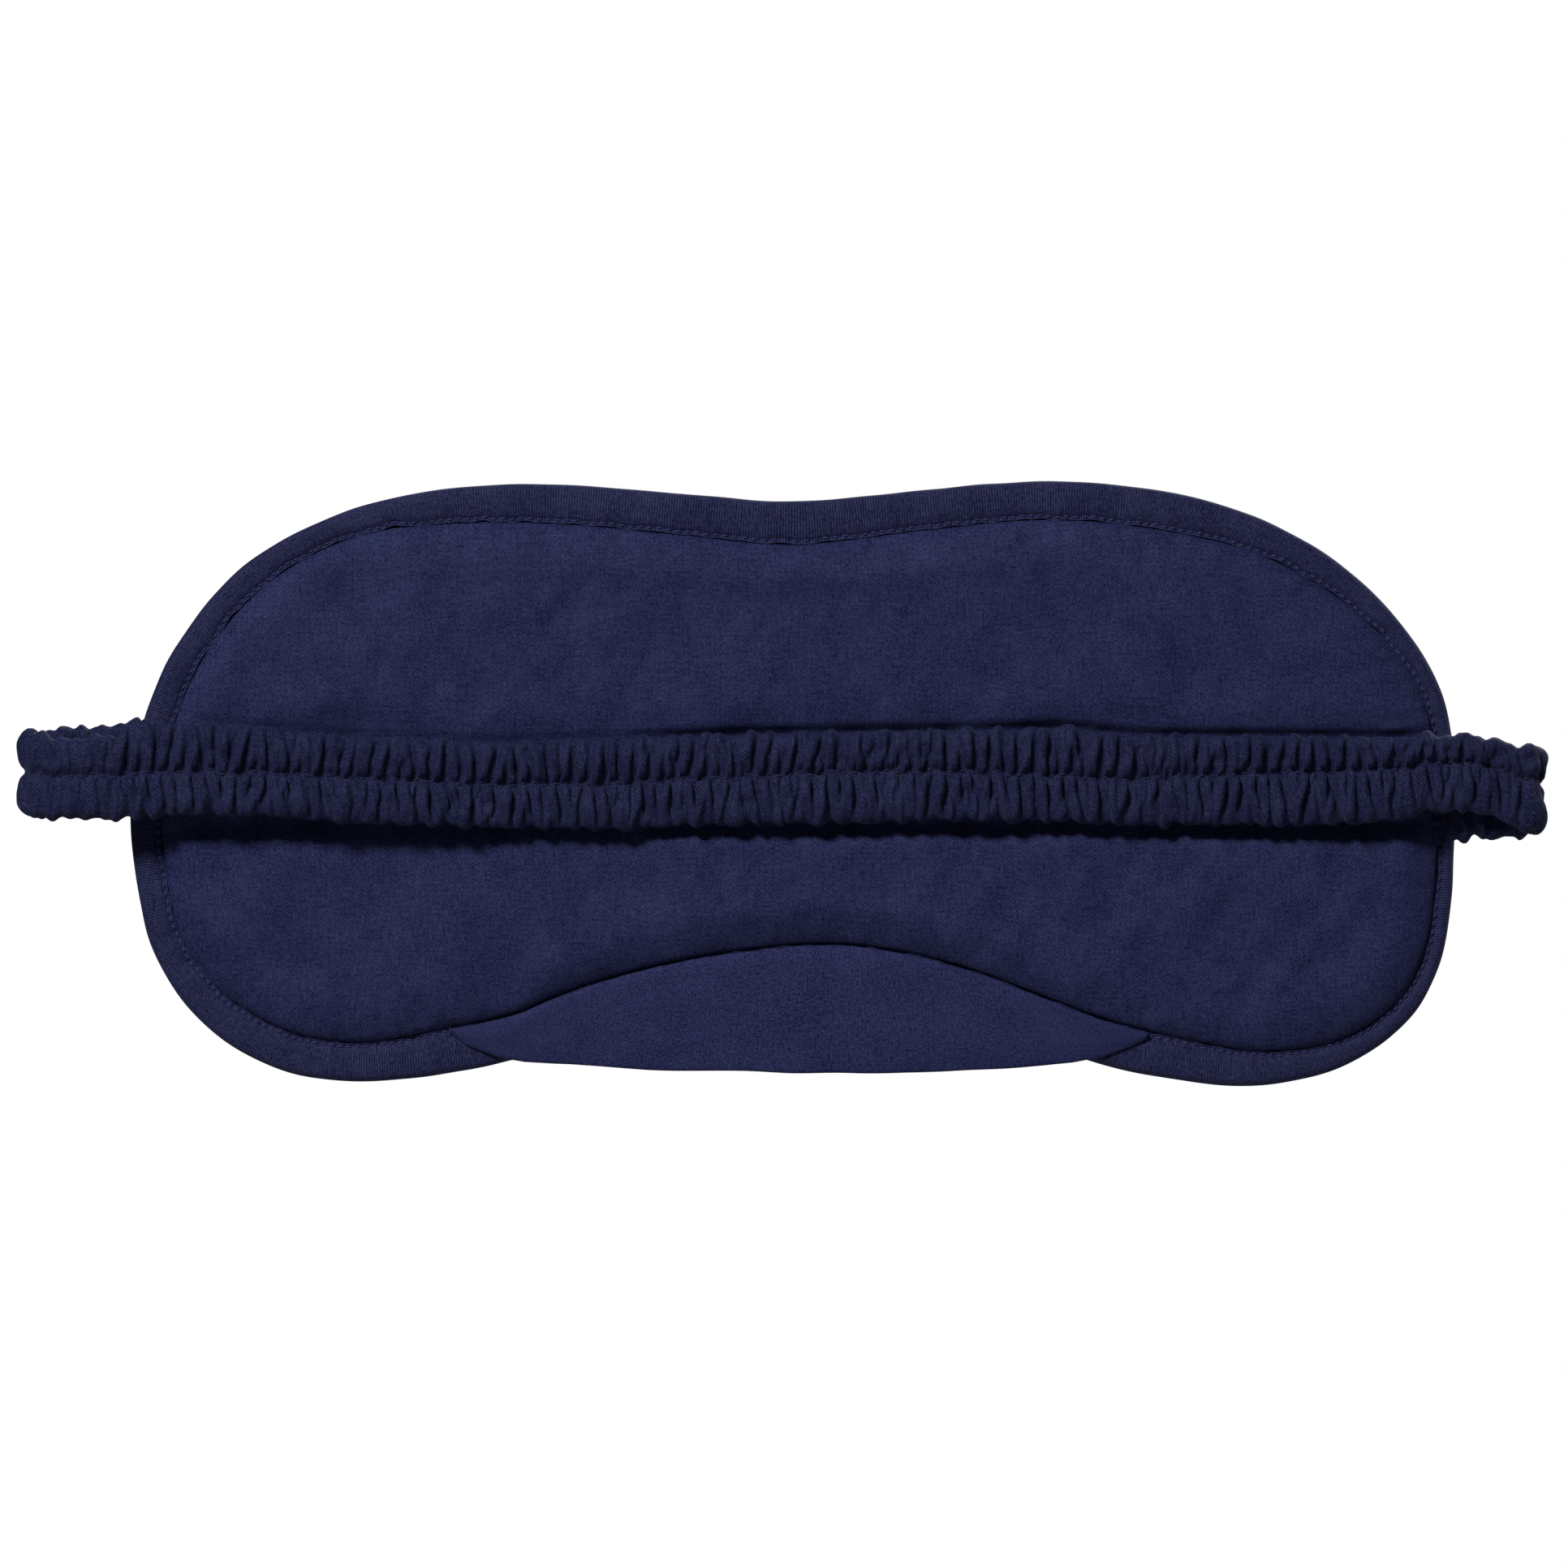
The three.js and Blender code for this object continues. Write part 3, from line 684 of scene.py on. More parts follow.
def build_layers():
    """The lining, the front panel, and between them the blackout sheet and the foam."""
    rng = np.random.default_rng(11)
    edge_rings = [(0, PANEL_INSET), (0.5, 0.4), (1, -0.5)]
    swell_rings = [0, 0.25, 0.5, 0.8, 1.2, 1.7, 2.3, 3, 3.8, 4.7, 5.7, 6.8, 8]
    insets = edge_rings + [(1, extra) for extra in swell_rings]
    sheet = Sheet(LAYER_SPACING, LAYER_GRID, insets)
    past = sheet.inset - sheet.width
    beyond_seam = np.clip(past, 0, None)
    x, z = sheet.points.T

    gather = round_trip(sheet.along, sheet.length, rng, 26, 3, 9)
    patchy = 0.55 + 0.45 * round_trip(sheet.along, sheet.length, rng, 10, 25, 90)
    pucker = 0.30 * gather * np.clip(patchy, 0, 1.3)
    pucker = pucker * smoothstep(past / 0.8) * np.exp(-beyond_seam / 3.2)
    waves = 0.28 * ripple(x, z, rng, 14, 18, 48) * smoothstep(past / 9)
    fine = 0.05 * ripple(x, z, rng, 24, 5, 11) * smoothstep(past / 3)
    puffed = puffed_depth(past) + settled_rise(sheet.points)
    shaped = puffed + 0.5 * pucker + waves + fine - strap_dent(x, z, past)
    depth = np.where(past > 0, shaped, LINING_EDGE_DEPTH)
    inner = depth - LINING_THICKNESS
    lining = sheet.piece("back_lining_padded", depth, inner, "lining_twill", "lining_twill")
    attach_to_mask(lining, "back_lining")

    step = smoothstep(past / 2.2)
    pucker = 0.12 * gather * smoothstep(past / 0.8) * np.exp(-beyond_seam / 2.5)
    front = (PANEL_EDGE_DEPTH - PANEL_EDGE_DEPTH * step) + pucker
    front = front + 0.10 * (1 + ripple(x, z, rng, 12, 20, 50)) * smoothstep(past / 6)
    front = np.where(past > 0, np.maximum(front, 0.0), PANEL_EDGE_DEPTH)
    inner = front + PANEL_THICKNESS
    panel = sheet.piece("front_panel_cloth", front, inner, "front_twill", "front_twill")
    attach_to_mask(panel, "front_panel")

    plain = Sheet(HIDDEN_SPACING, HIDDEN_GRID, [(0, PANEL_INSET), (1, 0.7), (1, 2.2), (1, 4)])
    past = plain.inset - plain.width
    flat = 1.4 - 0.7 * smoothstep(past / 2.2)
    blackout = plain.piece("blackout_sheet", flat, flat + BLACKOUT_THICKNESS, "blackout", "blackout")
    attach_to_mask(blackout, "blackout_interlining")

    pad = Sheet(HIDDEN_SPACING, HIDDEN_GRID, [(1, 3), (1, 3.6), (1, 4.6), (1, 6.2), (1, 8.5)])
    past = pad.inset - pad.width - 2.7
    top = lining_depth(past, 2.0, 3.9, 6) - strap_dent(*pad.points.T, past)
    foam = pad.piece("foam_pad", top, np.full(len(top), 1.15), "foam", "foam")
    attach_to_mask(foam, "foam_core")


# ------------ edge binding and its stitches


def build_binding():
    """The folded strip round the edge, and its two rows of stitches. Its rows of points run from its inner
    edge on the lining's face, round the outer edge to its inner edge on the front, and back inside."""
    rng = np.random.default_rng(23)
    line = Outline(CORNERS, BINDING_SPACING)
    count = len(line.place)
    wobble = 0.035 * round_trip(line.along, line.length, rng, 16, 9, 40)
    inner_wobble = 0.09 * round_trip(line.along, line.length, rng, 24, 3, 16)
    lift = 0.11 * round_trip(line.along, line.length, rng, 18, 5, 30)
    stitches = round(line.length / STITCH_PITCH)
    phase = line.along * stitches / line.length
    dimple = 0.5 + 0.5 * np.cos(TAU * phase)
    width = line.width + inner_wobble

    near_edge = [0.0, 0.14, 0.36, 0.55, 0.75, 0.95, 1.2]
    shrink = np.clip(line.width / 4.5, 0.6, 1)
    rows = []

    def add_row(inset, depth):
        rows.append((inset + np.zeros(count), depth + np.zeros(count)))

    def at_inset(inset):
        """The outline at an inset, with its unevenness fading towards the sewn edge."""
        return line.ring(inset + wobble * (1 - inset / (width + 2)))

    def face_depth(side, inset):
        """Depth of the binding's face: plump between its edges and drawn in along the stitches."""
        share = np.clip(inset / width, 0, 1)
        plump = 0.34 * np.sin(math.pi * share**0.8) ** 0.8
        from_stitch = (width - inset - SEW_INSET) / 0.42
        sewn = np.exp(-(from_stitch**2)) * (0.22 + 0.16 * dimple)
        curl = 0.10 * np.exp(-(((width - inset) / 0.3) ** 2))
        out = plump + curl - sewn + lift * smoothstep(share * 1.5) * 0.6
        if side > 0:
            return SEAM_BACK_DEPTH + np.minimum(out, 0.42)
        return SEAM_FRONT_DEPTH - np.minimum(0.55 * out, 0.26)

    for side in (1, -1):
        insets = [width - extra * shrink for extra in near_edge]
        middle_start = insets[-1]
        edge_start = np.minimum(1.15, 0.5 * middle_start)
        for share in (0.25, 0.5, 0.75, 1):
            insets.append(middle_start + (edge_start - middle_start) * share)
        face = [(inset, face_depth(side, inset)) for inset in insets]
        for step in (20, 42, 66):
            angle = math.radians(step)
            reach = edge_start * (1 - math.sin(angle))
            base = face_depth(side, edge_start)
            face.append((reach, SEAM_MIDDLE_DEPTH + (base - SEAM_MIDDLE_DEPTH) * math.cos(angle)))
        for inset, depth in face[::side]:
            add_row(inset, depth)
        if side > 0:
            add_row(0.0, SEAM_MIDDLE_DEPTH)
    walls = [width * share + (1 - share) * BINDING_INNER_EDGE - 0.02 for share in (1, 0.5, 0)]
    for inset in walls:
        add_row(inset, SEAM_FRONT_DEPTH + BINDING_WALL)
    add_row(BINDING_WALL, SEAM_MIDDLE_DEPTH)
    for inset in walls[::-1]:
        add_row(inset, SEAM_BACK_DEPTH - BINDING_WALL)

    rings = np.stack([place3(at_inset(inset), depth) for inset, depth in rows], 1)
    across = distances(np.vstack([rings[0], rings[0, :1]]))
    repeats = round(line.length / BINDING_REPEAT)
    along = np.arange(count + 1) * repeats * BINDING_REPEAT / count
    quads, rows_at, columns_at = grid_faces(count, len(rows), closed_rows=True, closed_columns=True)
    weave = np.stack([along[rows_at], across[columns_at]], -1)
    patches = [(quads, weave)]
    material = MATERIALS["binding_ribbed"]
    binding = make_piece("edge_binding_cloth", rings.reshape(-1, 3), patches, material)
    attach_to_mask(binding, "edge_binding")

    marks = (np.arange(stitches) + 0.5) / stitches * line.length
    closed_along = np.append(line.along, line.length)

    def at_stitches(values):
        wrapped = np.concatenate([values, values[:1]])
        if wrapped.ndim == 1:
            return np.interp(marks, closed_along, wrapped)
        return np.stack([np.interp(marks, closed_along, column) for column in wrapped.T], 1)

    sew = width - SEW_INSET * shrink
    spots = at_stitches(at_inset(sew))
    tangents = place3(at_stitches(line.tangent), 0)
    for thread, side in (("needle", 1), ("bobbin", -1)):
        depth = at_stitches(face_depth(side, sew)) + side * 0.05
        piece = stitch_row(f"{thread}_stitches", place3(spots, depth), tangents, side, rng, "thread",
                           STITCH_LENGTH, STITCH_RADIUS)
        attach_to_mask(piece, f"binding_{thread}_thread")


def stitch_row(name, middles, tangents, side, rng, material, length, radius):
    """Separate stitches, each a short bowed thread whose ends sink into the cloth. Side is 1 where they bow
    towards the wearer, and -1 where they bow the other way."""
    stations, around = 7, 8
    t = np.linspace(-1, 1, stations)
    bow = np.array([-0.22, -0.04, 0.05, 0.08, 0.05, -0.04, -0.22])[:, None]
    thick = radius * np.array([0.45, 0.85, 1, 1.05, 1, 0.85, 0.45])[:, None, None]
    out = np.array([0.0, -side, 0.0])
    tangents = tangents / np.linalg.norm(tangents, axis=1, keepdims=True)
    cross = np.cross(tangents, out)
    slant = 0.10 * rng.standard_normal(len(middles))
    ways = tangents + cross * slant[:, None]
    turn = (np.arange(around) / around * TAU)[:, None]
    centre = middles[:, None] + ways[:, None] * (t * length / 2)[:, None] + out * bow
    circle = (cross[:, None, None] * np.cos(turn) + out * np.sin(turn)) * thick
    points = (centre[:, :, None] + circle).reshape(-1, 3)
    quads, rows, columns = grid_faces(stations, around, closed_columns=True)
    size = stations * around
    offsets = (np.arange(len(middles)) * size)[:, None, None]
    faces = (quads[None] + offsets).reshape(-1, 4)
    weave = np.stack([rows * length / stations, columns * 0.12], -1)
    weave = np.tile(weave[None], (len(middles), 1, 1, 1)).reshape(-1, 4, 2)
    here = np.arange(around)
    caps = np.stack([here[::-1], here + size - around])
    cap_faces = (caps[None] + offsets).reshape(-1, around)
    cap_weave = np.zeros(cap_faces.shape + (2,))
    patches = [(faces, weave), (cap_faces, cap_weave)]
    return make_piece(name, points, patches, MATERIALS[material])


# ------------ nose flap


def build_flap():
    """The nose flap: one sheet from the arch of the seam down over its rolled free edge and back."""
    rng = np.random.default_rng(31)
    hinge = next(joint for joint in frame["joints"] if joint["name"] == "nose_flap_lift")
    pivot = np.array(hinge["pos_m"]) / MM
    slope = hinge["axis"][2] / hinge["axis"][0]

    def chord(x):
        """Height of the hinge's line."""
        return pivot[2] + slope * (x - pivot[0])

    line = Outline(CORNERS, 0.5)
    seam = line.ring(line.width - 0.1)
    free = node_points("nose_flap_free_edge")[:, [0, 2]]
    free = free[free[:, 1] < chord(free[:, 0]) - 0.9]
    left, right = free[:, 0].min() - 2.6, free[:, 0].max() + 2.6
    low = seam[(seam[:, 1] < 0) & (seam[:, 0] > left - 6) & (seam[:, 0] < right + 6)]
    low = low[np.argsort(low[:, 0])]
    free = free[np.argsort(free[:, 0])]
    free = np.vstack([[left, chord(left) - 0.35], free, [right, chord(right) - 0.35]])
    free, _ = curve_through(free, 0.5, closed=False)

    columns = round((right - left) / FLAP_COLUMN)
    x = np.linspace(left, right, columns + 1)
    top = np.maximum(np.interp(x, *low.T), chord(x) + 0.1)
    bottom = np.interp(x, *free.T) + 0.06 * ripple(x, 0 * x, rng, 10, 6, 25)
    share = np.linspace(0, 1, FLAP_ROWS)
    z = top + (bottom - top) * share[:, None]
    rows_x = np.broadcast_to(x, z.shape)
    end = smoothstep(np.minimum(x - left, right - x) / 9)
    swell = 0.30 * np.sin(math.pi * share)[:, None] ** 0.8
    face = FLAP_TOP_DEPTH + FLAP_THICKNESS * (0.25 + 0.75 * end) - 0.5 * np.exp(-share[:, None] / 0.05)
    face = face + swell + 0.10 * ripple(rows_x, z, rng, 12, 12, 36) * smoothstep(share[:, None] * 5)
    under = FLAP_TOP_DEPTH - 0.15
    middle = (face[-1] + under) / 2
    radius = (face[-1] - under) / 2
    sheet = np.stack([rows_x, z], -1)
    rings = list(place3(sheet, face))
    for angle in (35, 65, 90, 115, 145):
        turn = math.radians(angle)
        drop = np.stack([x, z[-1] - radius * math.sin(turn)], -1)
        rings.append(place3(drop, middle + radius * math.cos(turn)))
    rings += list(place3(sheet[::-1], under))
    rings = np.stack(rings, 1)
    across = distances(rings[columns // 2])
    across = np.append(across, across[-1] + 1)
    flap = tube_piece("nose_flap", rings, x - left, across, MATERIALS["flap_knit"])
    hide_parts("nose_flap_upper", "nose_flap_free_edge")
    middle = Vector((0, pivot[1] * MM, chord(0) * MM))
    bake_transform(flap)


# ------------ gathered strap


class StrapPath:
    """The strap's middle line from the left seam, round the left fold, along the run, round the right fold
    and back to the right seam."""

    def __init__(self):
        left_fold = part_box("strap_cover_tab_left")[0].x / MM + LEFT_FOLD_IN
        right_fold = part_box("strap_cover_tab_right")[1].x / MM - RIGHT_FOLD_IN
        left_seam = STRAP_EDGES["tab_left"][0][0]
        right_seam = STRAP_EDGES["tab_right"][-1][0]
        centre = TAB_DEPTH + FOLD_RADIUS
        turn = np.linspace(0, math.pi, 60)
        round_x = FOLD_RADIUS * np.sin(turn)
        round_depth = FOLD_RADIUS * np.cos(turn)
        dips = [(0, SEAM_TUCK_DEPTH), (1.5, SEAM_TUCK_DEPTH + 0.1), (6, TAB_DEPTH)]
        tab_left = [(left_seam - reach, depth) for reach, depth in dips]
        tab_right = [(right_seam + reach, depth) for reach, depth in dips][::-1]
        fold_left = np.stack([left_fold - round_x, centre - round_depth], 1)
        fold_right = np.stack([right_fold + round_x, centre + round_depth], 1)
        x = np.linspace(left_fold, right_fold, 800)
        run_depth = smoothed(np.interp(x, *np.array(RUN_DEPTHS).T), 101)
        tab_left, _ = curve_through(tab_left + [(left_fold, TAB_DEPTH)], 0.3, closed=False)
        tab_right, _ = curve_through([(right_fold, TAB_DEPTH)] + tab_right, 0.3, closed=False)
        parts = [tab_left, fold_left[1:], np.stack([x, run_depth], 1)[1:], fold_right[1:], tab_right[1:]]
        line = np.vstack(parts)
        reach = distances(line)
        ends = np.cumsum([len(part) for part in parts]) - 1
        self.part_ends = reach[ends]
        self.length = reach[-1]
        count = round(self.length / STRAP_STEP)
        self.u = np.linspace(0, self.length, count + 1)
        self.x = np.interp(self.u, reach, line[:, 0])
        self.depth = np.interp(self.u, reach, line[:, 1])
        way_x = smoothed(np.gradient(self.x), 7)
        way_depth = smoothed(np.gradient(self.depth), 7)
        size = np.hypot(way_x, way_depth)
        # The face side: towards the wearer on the run, towards the mask on the tabs.
        self.face_x = -way_depth / size
        self.face_depth = way_x / size
        self.edges = self.edge_lines(reach, line, ends)

    def edge_lines(self, reach, line, ends):
        """Heights of the strap's top, centre stitch and bottom at each station."""
        spans = {"tab_left": (0, ends[0]), "run": (ends[1], ends[2]), "tab_right": (ends[3], len(line) - 1)}
        marks = []
        for part, (start, end) in spans.items():
            piece = line[start : end + 1, 0]
            order = np.argsort(piece)
            x = [row[0] for row in STRAP_EDGES[part]]
            marks += np.interp(x, piece[order], reach[start : end + 1][order]).tolist()
        heights = np.array([row[1:] for part in spans for row in STRAP_EDGES[part]])
        return [smoothed(np.interp(self.u, marks, column), 33) for column in heights.T]

    def raised(self, station, height):
        """x and depth of points at a height over the middle line, on its face side."""
        lines = (self.x, self.face_x, self.depth, self.face_depth)
        x, face_x, depth, face_depth = (np.interp(station, self.u, line) for line in lines)
        return x + height * face_x, depth + height * face_depth

    def station(self, x, part):
        """The nearest station to an x on the left tab (0), the run (2) or the right tab (4)."""
        starts = [0, *self.part_ends[:-1]]
        on_part = (self.u >= starts[part] - 1e-6) & (self.u <= self.part_ends[part] + 1e-6)
        return int(np.argmin(np.where(on_part, np.abs(self.x - x), 1e9)))


def lobe_profile():
    """Half of the strap's section, from the centre stitch round the edge to the stitch on the other face.
    Returns distance out from the stitch, height and the outward directions, at even steps."""
    out = np.linspace(0, LOBE_REFERENCE, 800)
    rise = WAIST_HALF_THICKNESS + (LOBE_HALF_THICKNESS - WAIST_HALF_THICKNESS) * smoothstep(out / 2.2)
    left = np.clip((out - (LOBE_REFERENCE - EDGE_ROUND)) / EDGE_ROUND, 0, 1)
    height = rise * np.sqrt(1 - left**2)
    line = np.vstack([np.stack([out, height], 1), np.stack([out, -height], 1)[-2::-1]])
    reach = distances(line)
    marks = np.linspace(0, reach[-1], LOBE_ROWS)
    line = np.stack([np.interp(marks, reach, column) for column in line.T], 1)
    way = np.gradient(line, axis=0)
    normal = np.stack([-way[:, 1], way[:, 0]], 1)
    normal /= np.linalg.norm(normal, axis=1, keepdims=True)
    normal[0] = (0, 1)
    normal[-1] = (0, -1)
    return line, normal, marks[1]


def first_gathers(u, fullness, calm, limit, row_step, rng):
    """A wavy sheet to start the gathers from, as points (along, across, out), and its held edge lines."""
    j = np.arange(LOBE_ROWS)
    from_stitch = np.minimum(j, LOBE_ROWS - 1 - j) * row_step
    along = np.repeat(u[:, None], LOBE_ROWS, 1)
    across = np.repeat((j * row_step)[None], len(u), 0)
    seed = ripple(along, across / 1.8, rng, 40, 2.3, 6.0) * (1 - calm[:, None])
    seed = seed + ripple(along, across / 2.6, rng, 30, 4.5, 9.0) * calm[:, None]
    fine = ripple(along, across / 1.8, rng, 30, 1.5, 2.6)
    near = np.exp(-from_stitch / 2.2)[None]
    out = limit * (0.45 + 0.42 * seed * (1 - 0.6 * near) + 0.55 * fine * near)
    out = np.clip(out, 0, limit)
    along = along + 0.55 * ripple(along, across * 0.8, rng, 30, 3.5, 10)
    sheet = np.stack([along, across, out], -1)
    hold = sheet.copy()
    bunched = u + 0.26 * ripple(u, 0 * u, rng, 30, 2.2, 5.5) * (fullness - 1)
    bunched[[0, -1]] = u[[0, -1]]
    hold[..., 0] = bunched[:, None]
    hold[..., 2] = 0
    return sheet, hold


def gather_lobe(u, fullness, calm, limit, row_step, rng, rounds):
    """Gathers a flat sheet of cloth onto a shorter line, and lets it buckle into pleats. The sheet is held
    along both long sides, its rest length along the strap is longer than the room it has, and no point
    sinks below its bed or rises past limit. Returns the points (along, across, out) and rest lengths."""
    count, rows = len(u), LOBE_ROWS
    step = u[1] - u[0]
    j = np.arange(rows)
    from_stitch = np.minimum(j, rows - 1 - j) * row_step
    slack = 0.35 + 0.65 * smoothstep(from_stitch / 1.2)
    slack = slack * (1 - 0.28 * smoothstep((from_stitch - 1.2) / 3.5))
    rest = step * (1 + (fullness[:, None] - 1) * slack[None])
    p, hold = first_gathers(u, fullness, calm, limit, row_step, rng)

    def pull(a, b, length, shorten, stretch):
        """Moves two sets of points to their length apart, by these shares when too far and too near."""
        gap = p[b] - p[a]
        size = np.sqrt((gap**2).sum(-1, keepdims=True)) + 1e-9
        miss = (size - length[..., None]) / size
        share = np.where(miss > 0, shorten, stretch)
        move = 0.5 * share * miss * gap
        p[a] += move
        p[b] -= move

    for turn in range(rounds):
        # The cloth's own lengths, along and across.
        for phase in (0, 1):
            a = (slice(phase, count - 1, 2), slice(None))
            b = (slice(phase + 1, count, 2), slice(None))
            pull(a, b, 0.5 * (rest[a] + rest[b]), 0.9, 0.9)
        for phase in (0, 1):
            a = (slice(None), slice(phase, rows - 1, 2))
            b = (slice(None), slice(phase + 1, rows, 2))
            pull(a, b, np.full(p[a].shape[:2], row_step), 0.9, 0.5)
        # Bending: points two and four steps apart push each other away, and more so over a ridge.
        for span, ratio in ((2, 0.94), (4, 0.80)):
            for phase in range(2):
                start = (turn + phase * span) % (2 * span)
                for offset in range(span):
                    index = np.arange(start, count - span, 2 * span) + offset
                    index = index[index + span < count]
                    a = (index, slice(None))
                    b = (index + span, slice(None))
                    ridge = p[index + span // 2, :, 2] > (p[a][..., 2] + p[b][..., 2]) / 2
                    pull(a, b, ratio * span * rest[a], 0.0, 0.18 + 0.2 * ridge[..., None])
        for span, ratio in ((2, 0.97), (4, 0.93)):
            a = (slice(None), slice(turn % span, rows - span, 2 * span))
            b = (slice(None), slice(turn % span + span, rows, 2 * span))
            pull(a, b, np.full(p[b].shape[:2], ratio * span * row_step), 0.0, 0.3)
        # A little pressure, no folding back along the strap, the bed and the roof, and the held sides.
        way = np.cross(np.gradient(p, axis=0), np.gradient(p, axis=1))
        way /= np.linalg.norm(way, axis=-1, keepdims=True) + 1e-9
        p += 0.004 * way
        short = np.minimum(np.diff(p[..., 0], axis=0) - 0.05, 0) / 2
        p[:-1, :, 0] += short
        p[1:, :, 0] -= short
        p[..., 2] = np.maximum(p[..., 2], 0)
        p[..., 2] -= 0.35 * np.maximum(p[..., 2] - limit, 0)
        p[..., 1] += 0.15 * (hold[..., 1] - p[..., 1])
        p[..., 0] += 0.01 * (hold[..., 0] - p[..., 0])
        p[:, 0] = hold[:, 0]
        p[:, -1] = hold[:, -1]
        p[0] = hold[0]
        p[-1] = hold[-1]
    # Rounds off the pleats along the strap's outer edge.
    rounding = 0.25 * np.exp(-(((j[1:-1] - (rows - 1) / 2) / 4) ** 2))[None, :, None]
    for _ in range(5):
        p[1:-1, 1:-1] += rounding * (p[2:, 1:-1] + p[:-2, 1:-1] - 2 * p[1:-1, 1:-1])
    return p, rest


def gathered_tube(path, jagged, rng):
    """The whole strap cover as rings of points, with the flat cloth's places along and across it."""
    line, normal, row_step = lobe_profile()
    u = path.u
    top, stitch, bottom = path.edges
    calm = np.exp(-(((u - path.part_ends[1] - 1.0) / 9.5) ** 4))
    calm = np.maximum(calm, 0.8 * np.exp(-(((u - path.part_ends[2]) / 6.5) ** 4)))
    ends = smoothstep(u / 5) * smoothstep((path.length - u) / 5)
    loose = 1.66 + 0.12 * ripple(u, 0 * u, rng, 14, 8, 40)
    beyond_mask = smoothstep((np.abs(path.x) - 96) / 6)
    fullness = (loose - 0.42 * calm) * ends + 1.05 * (1 - ends)
    j = np.arange(LOBE_ROWS)
    at_edge = np.exp(-(((j - (LOBE_ROWS - 1) / 2) / 3.2) ** 2))
    from_stitch = np.minimum(j, LOBE_ROWS - 1 - j) * row_step
    flatten = 1 - at_edge[None] * (0.68 - 0.18 * beyond_mask[:, None])
    roof = 1.45 * smoothstep(from_stitch / 1.0)[None] * flatten
    roof = roof * (0.15 + 0.85 * ends[:, None]) * (1 - 0.35 * calm[:, None])
    thin = 0.42 + 0.58 * ends[:, None]
    rounds = 160
    lobes = []
    for side, height_share, reach in ((1, 1.0, top - stitch), (-1, 0.9, stitch - bottom)):
        uneven = 0.85 + 0.32 * ripple(u[:, None], j[None] * row_step / 2, rng, 30, 2.2, 6)
        limit = roof * height_share * np.clip(uneven, 0.25, 1.3)
        sheet, rest = gather_lobe(u, fullness, calm, limit, row_step, rng, rounds)
        station, across, pleat = (sheet[..., k] for k in range(3))
        scale = (reach - PLEAT_REACH) / LOBE_REFERENCE
        where = np.clip(across / row_step, 0, LOBE_ROWS - 1)
        low = np.clip(np.floor(where).astype(int), 0, LOBE_ROWS - 2)
        part = (where - low)[..., None]
        base = line[low] * (1 - part) + line[low + 1] * part
        lean = normal[low] * (1 - part) + normal[low + 1] * part
        out = base[..., 0] * scale[:, None] + lean[..., 0] * pleat
        x, depth = path.raised(station, base[..., 1] * thin + lean[..., 1] * pleat)
        z = np.interp(station, u, jagged) + side * (STITCH_GROOVE + out)
        lobes.append(np.stack([x, -depth, z], -1))
    rings = np.concatenate([lobes[0], lobes[1][:, ::-1]], 1)
    weave_along = np.concatenate([[0], np.cumsum(rest[1:, LOBE_ROWS // 4])])
    weave_across = np.arange(rings.shape[1] + 1) * row_step
    return rings, weave_along, weave_across


def elastic_rings(path):
    """The flat band inside the cover, as rings of points and the places across it."""
    section = np.array([(-0.5, -0.3), (-0.46, -0.5), (0.46, -0.5), (0.5, -0.3)])
    section = np.vstack([section, -section])
    out = section[:, 1] * ELASTIC_THICKNESS
    x = path.x[:, None] + out * path.face_x[:, None]
    depth = path.depth[:, None] + out * path.face_depth[:, None]
    top, _, bottom = path.edges
    z = ((top + bottom) / 2)[:, None] + section[:, 0] * ELASTIC_WIDTH
    rings = np.stack([x, -depth, z], -1)
    return rings, np.append(distances(rings[0]), ELASTIC_GIRTH)


def centre_stitches(path, jagged, start, end):
    """Middles and directions of the centre stitches on both faces, between two stations."""
    places = np.arange(path.u[start] + 0.8, path.u[end] - 0.4, CENTRE_STITCH_PITCH)
    z = np.interp(places, path.u, jagged)
    middles = []
    for face in (1, -1):
        x, depth = path.raised(places, face * (WAIST_HALF_THICKNESS + 0.06))
        middles.append(np.stack([x, -depth, z], 1))
    slope = np.interp(places, path.u, np.gradient(jagged, path.u))
    along_x = np.interp(places, path.u, path.face_depth)
    along_depth = np.interp(places, path.u, path.face_x)
    tangent = np.stack([along_x, along_depth, slope], 1)
    return np.vstack(middles), np.vstack([tangent, tangent])


